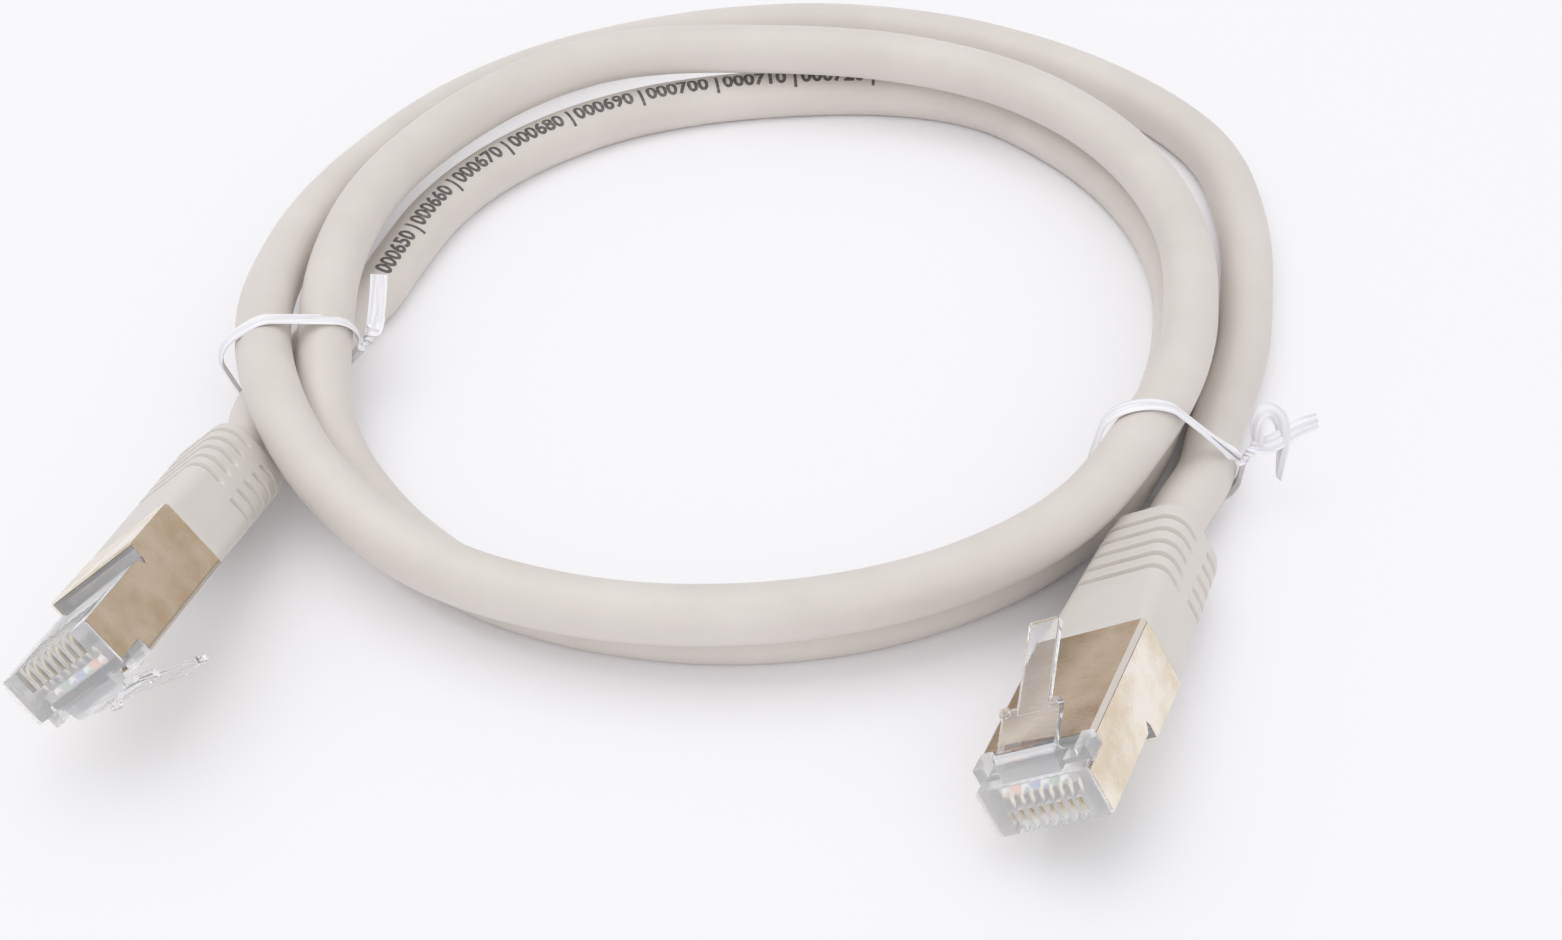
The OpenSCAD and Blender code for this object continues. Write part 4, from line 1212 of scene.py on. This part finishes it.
def wire_mesh(end, i):
    plug = bpy.context.scene.patch_plug
    name, ground, stripe = WIRES[i]
    return grown(
        line_object("wire line", wire_points(end, i)), sweep_tree, f"{name}_insulation_{end}",
        insulation(f"{name} insulation", ground, stripe), Radius=plug.wire_diameter / 2, Sides=24,
        Ring_spacing=0.35 * MM, Lump_height=0.00001, Lump_length=0.002, Twist_length=0.01,
        Lowest=-1.0,
    )


def shield_shell(end):
    plug = bpy.context.scene.patch_plug
    shell = merged_copy(f"shield_shell_{end}", f"shield_{end}", plated_sheet("plated sheet", plug))
    note_plug_place(shell, end)
    return shade_smooth(round_edges(shell, plug.sheet_edge))


def clear_piece(name, node, material, edge_material):
    """A clear moulding whose rounded edges have a finish of their own."""
    piece = merged_copy(name, node, material)
    piece.data.materials.append(edge_material)
    round_edges(piece, bpy.context.scene.patch_plug.edge).modifiers[0].material = 1
    return shade_smooth(piece)


def refinish(node, material):
    """Gives a CAD node that is shown as it is a better material."""
    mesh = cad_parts[node].data
    mesh.materials.clear()
    mesh.materials.append(material)
    shade_smooth(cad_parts[node])


# Ties -------------------------------------------------------------------------------------------


def carried(points, away):
    """The way a ribbon's face looks at each point, turned no more than its line turns."""
    faces = []
    for i in range(len(points)):
        heading = heading_at(points, i)
        away = (away - away.dot(heading) * heading).normalized()
        faces.append(away)
    return faces


def tie_path(tie):
    """A tie's points from end to end, each with the way its face looks and its width's share."""
    ties = bpy.context.scene.patch_ties
    facing = radians(tie["faces"])
    outward = Vector((cos(facing), sin(facing), 0))
    along = Vector((-sin(facing), cos(facing), 0))
    origin = Vector((*tie["through"], 0)) * MM

    def way(out, up, on=0.0):
        return out * outward + Vector((0, 0, up)) + on * along

    def looking(angle):
        return way(cos(radians(angle)), sin(radians(angle)))

    def on_strand(strand, look):
        """Where a ribbon that looks one way lies on a strand, which the plane may cut aslant."""
        out, up, stretch = strand
        flat = Vector((stretch * look.dot(outward), look.z))
        lean = cord_r / flat.length
        return way(out * MM + lean * stretch * flat.x, up * MM + lean * flat.y) + clear * look

    cord_r = bpy.context.scene.patch_cord.diameter / 2
    clear = ties.gap + ties.thickness / 2
    strands = tie["strands"]
    apart = (ties.thickness + ties.bead) / 2
    turn = tie["twist_at"]
    root = origin + on_strand(strands[0], looking(turn)) + 2 * apart * looking(turn)
    axis = way(*tie["twist_way"]).normalized()
    first_side = looking(turn + 90)
    first_side = (first_side - first_side.dot(axis) * axis).normalized()
    second_side = axis.cross(first_side)
    tip = root + ties.twist * axis
    arms = []
    for side, rows, roll in zip((1, -1), tie["ends"], tie["rolls"]):
        arm = []
        for k in range(TWIST_STEPS + 1):
            share = k / TWIST_STEPS
            a = 2 * pi * TWIST_TURNS * share
            face = side * (cos(a) * first_side + sin(a) * second_side)
            crushed = 1 - TWIST_CRUSH * sin(pi * min(1.0, CRUSH_AT_ROOT + share))
            arm.append((root + ties.twist * share * axis + apart * face, face, crushed))
        points = [arm[-1][0]] + [tip + way(*row) * MM for row in rows]
        faces = carried(points, arm[-1][1])
        for k in range(1, len(points)):
            heading = points[k] - points[k - 1]
            rolled = Matrix.Rotation(radians(roll) * k / len(rows), 3, heading) @ faces[k]
            arm.append((points[k], rolled, 1.0))
        arms.append(arm)
    band = []
    for angle in range(turn + BAND_SPREAD, turn + 361 - BAND_SPREAD, BAND_STEP):
        face = looking(angle)
        places = (on_strand(strand, face) for strand in strands)
        band.append((origin + max(places, key=face.dot), face, 1.0))
    return arms[0][::-1] + band + arms[1]


def evened(path, spacing):
    """The same path with its points spread evenly along a smooth line."""
    line = []
    for i in range(len(path) - 1):
        around = [path[k][0] for k in (max(i - 1, 0), i, i + 1, min(i + 2, len(path) - 1))]
        piece = smooth_span(*around, spacing)
        for k, point in enumerate(piece):
            share = k / len(piece)
            face = path[i][1].lerp(path[i + 1][1], share).normalized()
            width = path[i][2] + share * (path[i + 1][2] - path[i][2])
            line.append((point, face, width))
    return line + [path[-1]]


def tie_ribbon(side, material):
    ties = bpy.context.scene.patch_ties
    line = faced_line(f"{side}_tie_line", evened(tie_path(TIES[side]), 0.3 * MM))
    return grown(line, ribbon_tree, f"{side}_tie_ribbon", material, Width=ties.width,
                 Film=ties.thickness, Bead=ties.bead, Rib=ties.rib, Ring_spacing=0.25 * MM)


def tie_wire(side, material):
    ties = bpy.context.scene.patch_ties
    path = evened(tie_path(TIES[side]), 0.4 * MM)
    line = line_object(f"{side}_tie_middle", [point for point, face, width in path])
    return grown(line, sweep_tree, f"{side}_tie_wire", material, Radius=ties.wire_diameter / 2,
                 Sides=8, Ring_spacing=0.3 * MM, Lump_height=0.0, Lump_length=0.01,
                 Twist_length=0.01, Lowest=-1.0)


# Operators --------------------------------------------------------------------------------------


class PATCH_OT_stage(bpy.types.Operator):
    """Lay the white card, light it softly and set up the camera"""

    bl_idname = "patch.stage"
    bl_label = "Stage"

    def execute(self, context):
        stage = context.scene.patch_stage
        studio_camera(stage)
        studio_floor(stage)
        context.scene.world = studio_sky(stage)
        lamp("key", KEY_PLACE, CAMERA_AIM, KEY_SIZE, stage.key_power)
        lamp("fill", FILL_PLACE, CAMERA_AIM, FILL_SIZE, stage.key_power * FILL_SHARE)
        context.scene.view_settings.view_transform = "Standard"
        return {"FINISHED"}


class PATCH_OT_jacket(bpy.types.Operator):
    """Wind the grey jacket from plug to plug"""

    bl_idname = "patch.jacket"
    bl_label = "Jacket"

    def execute(self, context):
        carry(jacket_mesh(), "jacket", "coil", "lead_a", "lead_b")
        return {"FINISHED"}


class PATCH_OT_marks(bpy.types.Operator):
    """Print plain length numbers along the last turn of the jacket"""

    bl_idname = "patch.marks"
    bl_label = "Length marks"

    def execute(self, context):
        carry(printed_marks(bpy.data.objects["jacket"]), "jacket")
        return {"FINISHED"}


class PATCH_OT_boots(bpy.types.Operator):
    """Mould a ribbed boot on each end of the jacket"""

    bl_idname = "patch.boots"
    bl_label = "Boots"

    def execute(self, context):
        for end in ENDS:
            carry(boot_mesh(end), "boot_plastic", f"boot_{end}")
        return {"FINISHED"}


class PATCH_OT_shields(bpy.types.Operator):
    """Plate and round the two folded shields"""

    bl_idname = "patch.shields"
    bl_label = "Shields"

    def execute(self, context):
        for end in ENDS:
            carry(shield_shell(end), "shield_metal", f"shield_{end}")
        return {"FINISHED"}


class PATCH_OT_housings(bpy.types.Operator):
    """Round and clear the two plug housings"""

    bl_idname = "patch.housings"
    bl_label = "Housings"

    def execute(self, context):
        plug = context.scene.patch_plug
        coated = {"gloss": 1.0, "walls": HOUSING_WALLS}
        plastic = clear_moulding("clear housing", plug.clear, plug.milk, HOUSING_BEND, **coated)
        edge = clear_moulding("clear housing edge", plug.clear, HOUSING_EDGE_MILK,
                              HOUSING_EDGE_BEND, **coated)
        for end in ENDS:
            piece = clear_piece(f"housing_moulding_{end}", f"housing_{end}", plastic, edge)
            carry(piece, "clear_plastic", f"housing_{end}")
        return {"FINISHED"}


class PATCH_OT_latches(bpy.types.Operator):
    """Round and clear the two sprung latches, each on its own body"""

    bl_idname = "patch.latches"
    bl_label = "Latches"

    def execute(self, context):
        plastic = clear_moulding("clear latch", context.scene.patch_plug.clear)
        for end in ENDS:
            piece = clear_piece(f"latch_moulding_{end}", f"latch_{end}", plastic, plastic)
            carry(piece, "clear_plastic", f"latch_{end}", body=f"latch_lever_{end}")
        return {"FINISHED"}


class PATCH_OT_contacts(bpy.types.Operator):
    """Set a row of eight blades in each plug"""

    bl_idname = "patch.contacts"
    bl_label = "Contacts"

    def execute(self, context):
        for end in ENDS:
            carry(contact_row(end), "contact_gold", f"contacts_{end}")
        return {"FINISHED"}


class PATCH_OT_wires(bpy.types.Operator):
    """Run eight coloured wires from each jacket end to the contacts"""

    bl_idname = "patch.wires"
    bl_label = "Wires"

    def execute(self, context):
        for end in ENDS:
            for i in range(CONTACTS):
                name = WIRES[i][0]
                carry(wire_mesh(end, i), f"{name}_insulation", f"{name}_wire_{end}")
        return {"FINISHED"}


class PATCH_OT_screens(bpy.types.Operator):
    """Finish the load bars, foil screens and drain wires inside the plugs"""

    bl_idname = "patch.screens"
    bl_label = "Load bars and screens"

    def execute(self, context):
        plug = context.scene.patch_plug
        comb = clear_moulding("load bar moulding", plug.clear, LOAD_BAR_MILK)
        foil = bare_metal("screen foil", FOIL_COLOUR, 0.18, 0.42, grain=0.0009)
        tinned = bare_metal("tinned wire", TIN_COLOUR, 0.2, 0.38, grain=0.0003)
        for end in ENDS:
            refinish(f"load_bar_{end}", comb)
            refinish(f"foil_screen_{end}", foil)
            refinish(f"drain_wire_{end}", tinned)
        return {"FINISHED"}


class PATCH_OT_ties(bpy.types.Operator):
    """Tie the coil on both sides with clear ribbon over a wire"""

    bl_idname = "patch.ties"
    bl_label = "Twist ties"

    def execute(self, context):
        ties = context.scene.patch_ties
        film = tie_film("tie film", ties)
        wire = bare_metal("tie wire", ties.wire, 0.3, 0.5, 0.0004)
        for side in ("left", "right"):
            carry(tie_ribbon(side, film), "tie_plastic", f"{side}_tie_sheath")
            carry(tie_wire(side, wire), "tie_wire", f"{side}_tie_core")
        return {"FINISHED"}


STEPS = (
    PATCH_OT_stage,
    PATCH_OT_jacket,
    PATCH_OT_marks,
    PATCH_OT_boots,
    PATCH_OT_shields,
    PATCH_OT_housings,
    PATCH_OT_latches,
    PATCH_OT_contacts,
    PATCH_OT_wires,
    PATCH_OT_screens,
    PATCH_OT_ties,
)


class PATCH_PT_panel(bpy.types.Panel):
    """Sizes and colours of the cable, and a button for each step"""

    bl_idname = "PATCH_PT_panel"
    bl_label = "Patch Cable"
    bl_space_type = "VIEW_3D"
    bl_region_type = "UI"
    bl_category = "Patch Cable"

    def draw(self, context):
        layout = self.layout
        for name in SETTINGS:
            box = layout.box()
            group = getattr(context.scene, name)
            for prop in group.bl_rna.properties:
                if prop.identifier not in ("rna_type", "name"):
                    box.prop(group, prop.identifier)
        for step in STEPS:
            layout.operator(step.bl_idname)


SETTINGS = {
    "patch_cord": CordSettings,
    "patch_plug": PlugSettings,
    "patch_boot": BootSettings,
    "patch_ties": TieSettings,
    "patch_stage": StageSettings,
}
CLASSES = (*SETTINGS.values(), *STEPS, PATCH_PT_panel)


def register():
    for kind in CLASSES:
        bpy.utils.register_class(kind)
    for name, kind in SETTINGS.items():
        setattr(bpy.types.Scene, name, PointerProperty(type=kind))


def unregister():
    for name in SETTINGS:
        delattr(bpy.types.Scene, name)
    for kind in reversed(CLASSES):
        bpy.utils.unregister_class(kind)


def declare_cord():
    """Works out the cord's middle line."""
    line = cord_line()


def main():
    register()
    for step in STEPS:
        family, action = step.bl_idname.split(".")
        getattr(getattr(bpy.ops, family), action)()
    declare_cord()


if __name__ == "__main__":
    main()
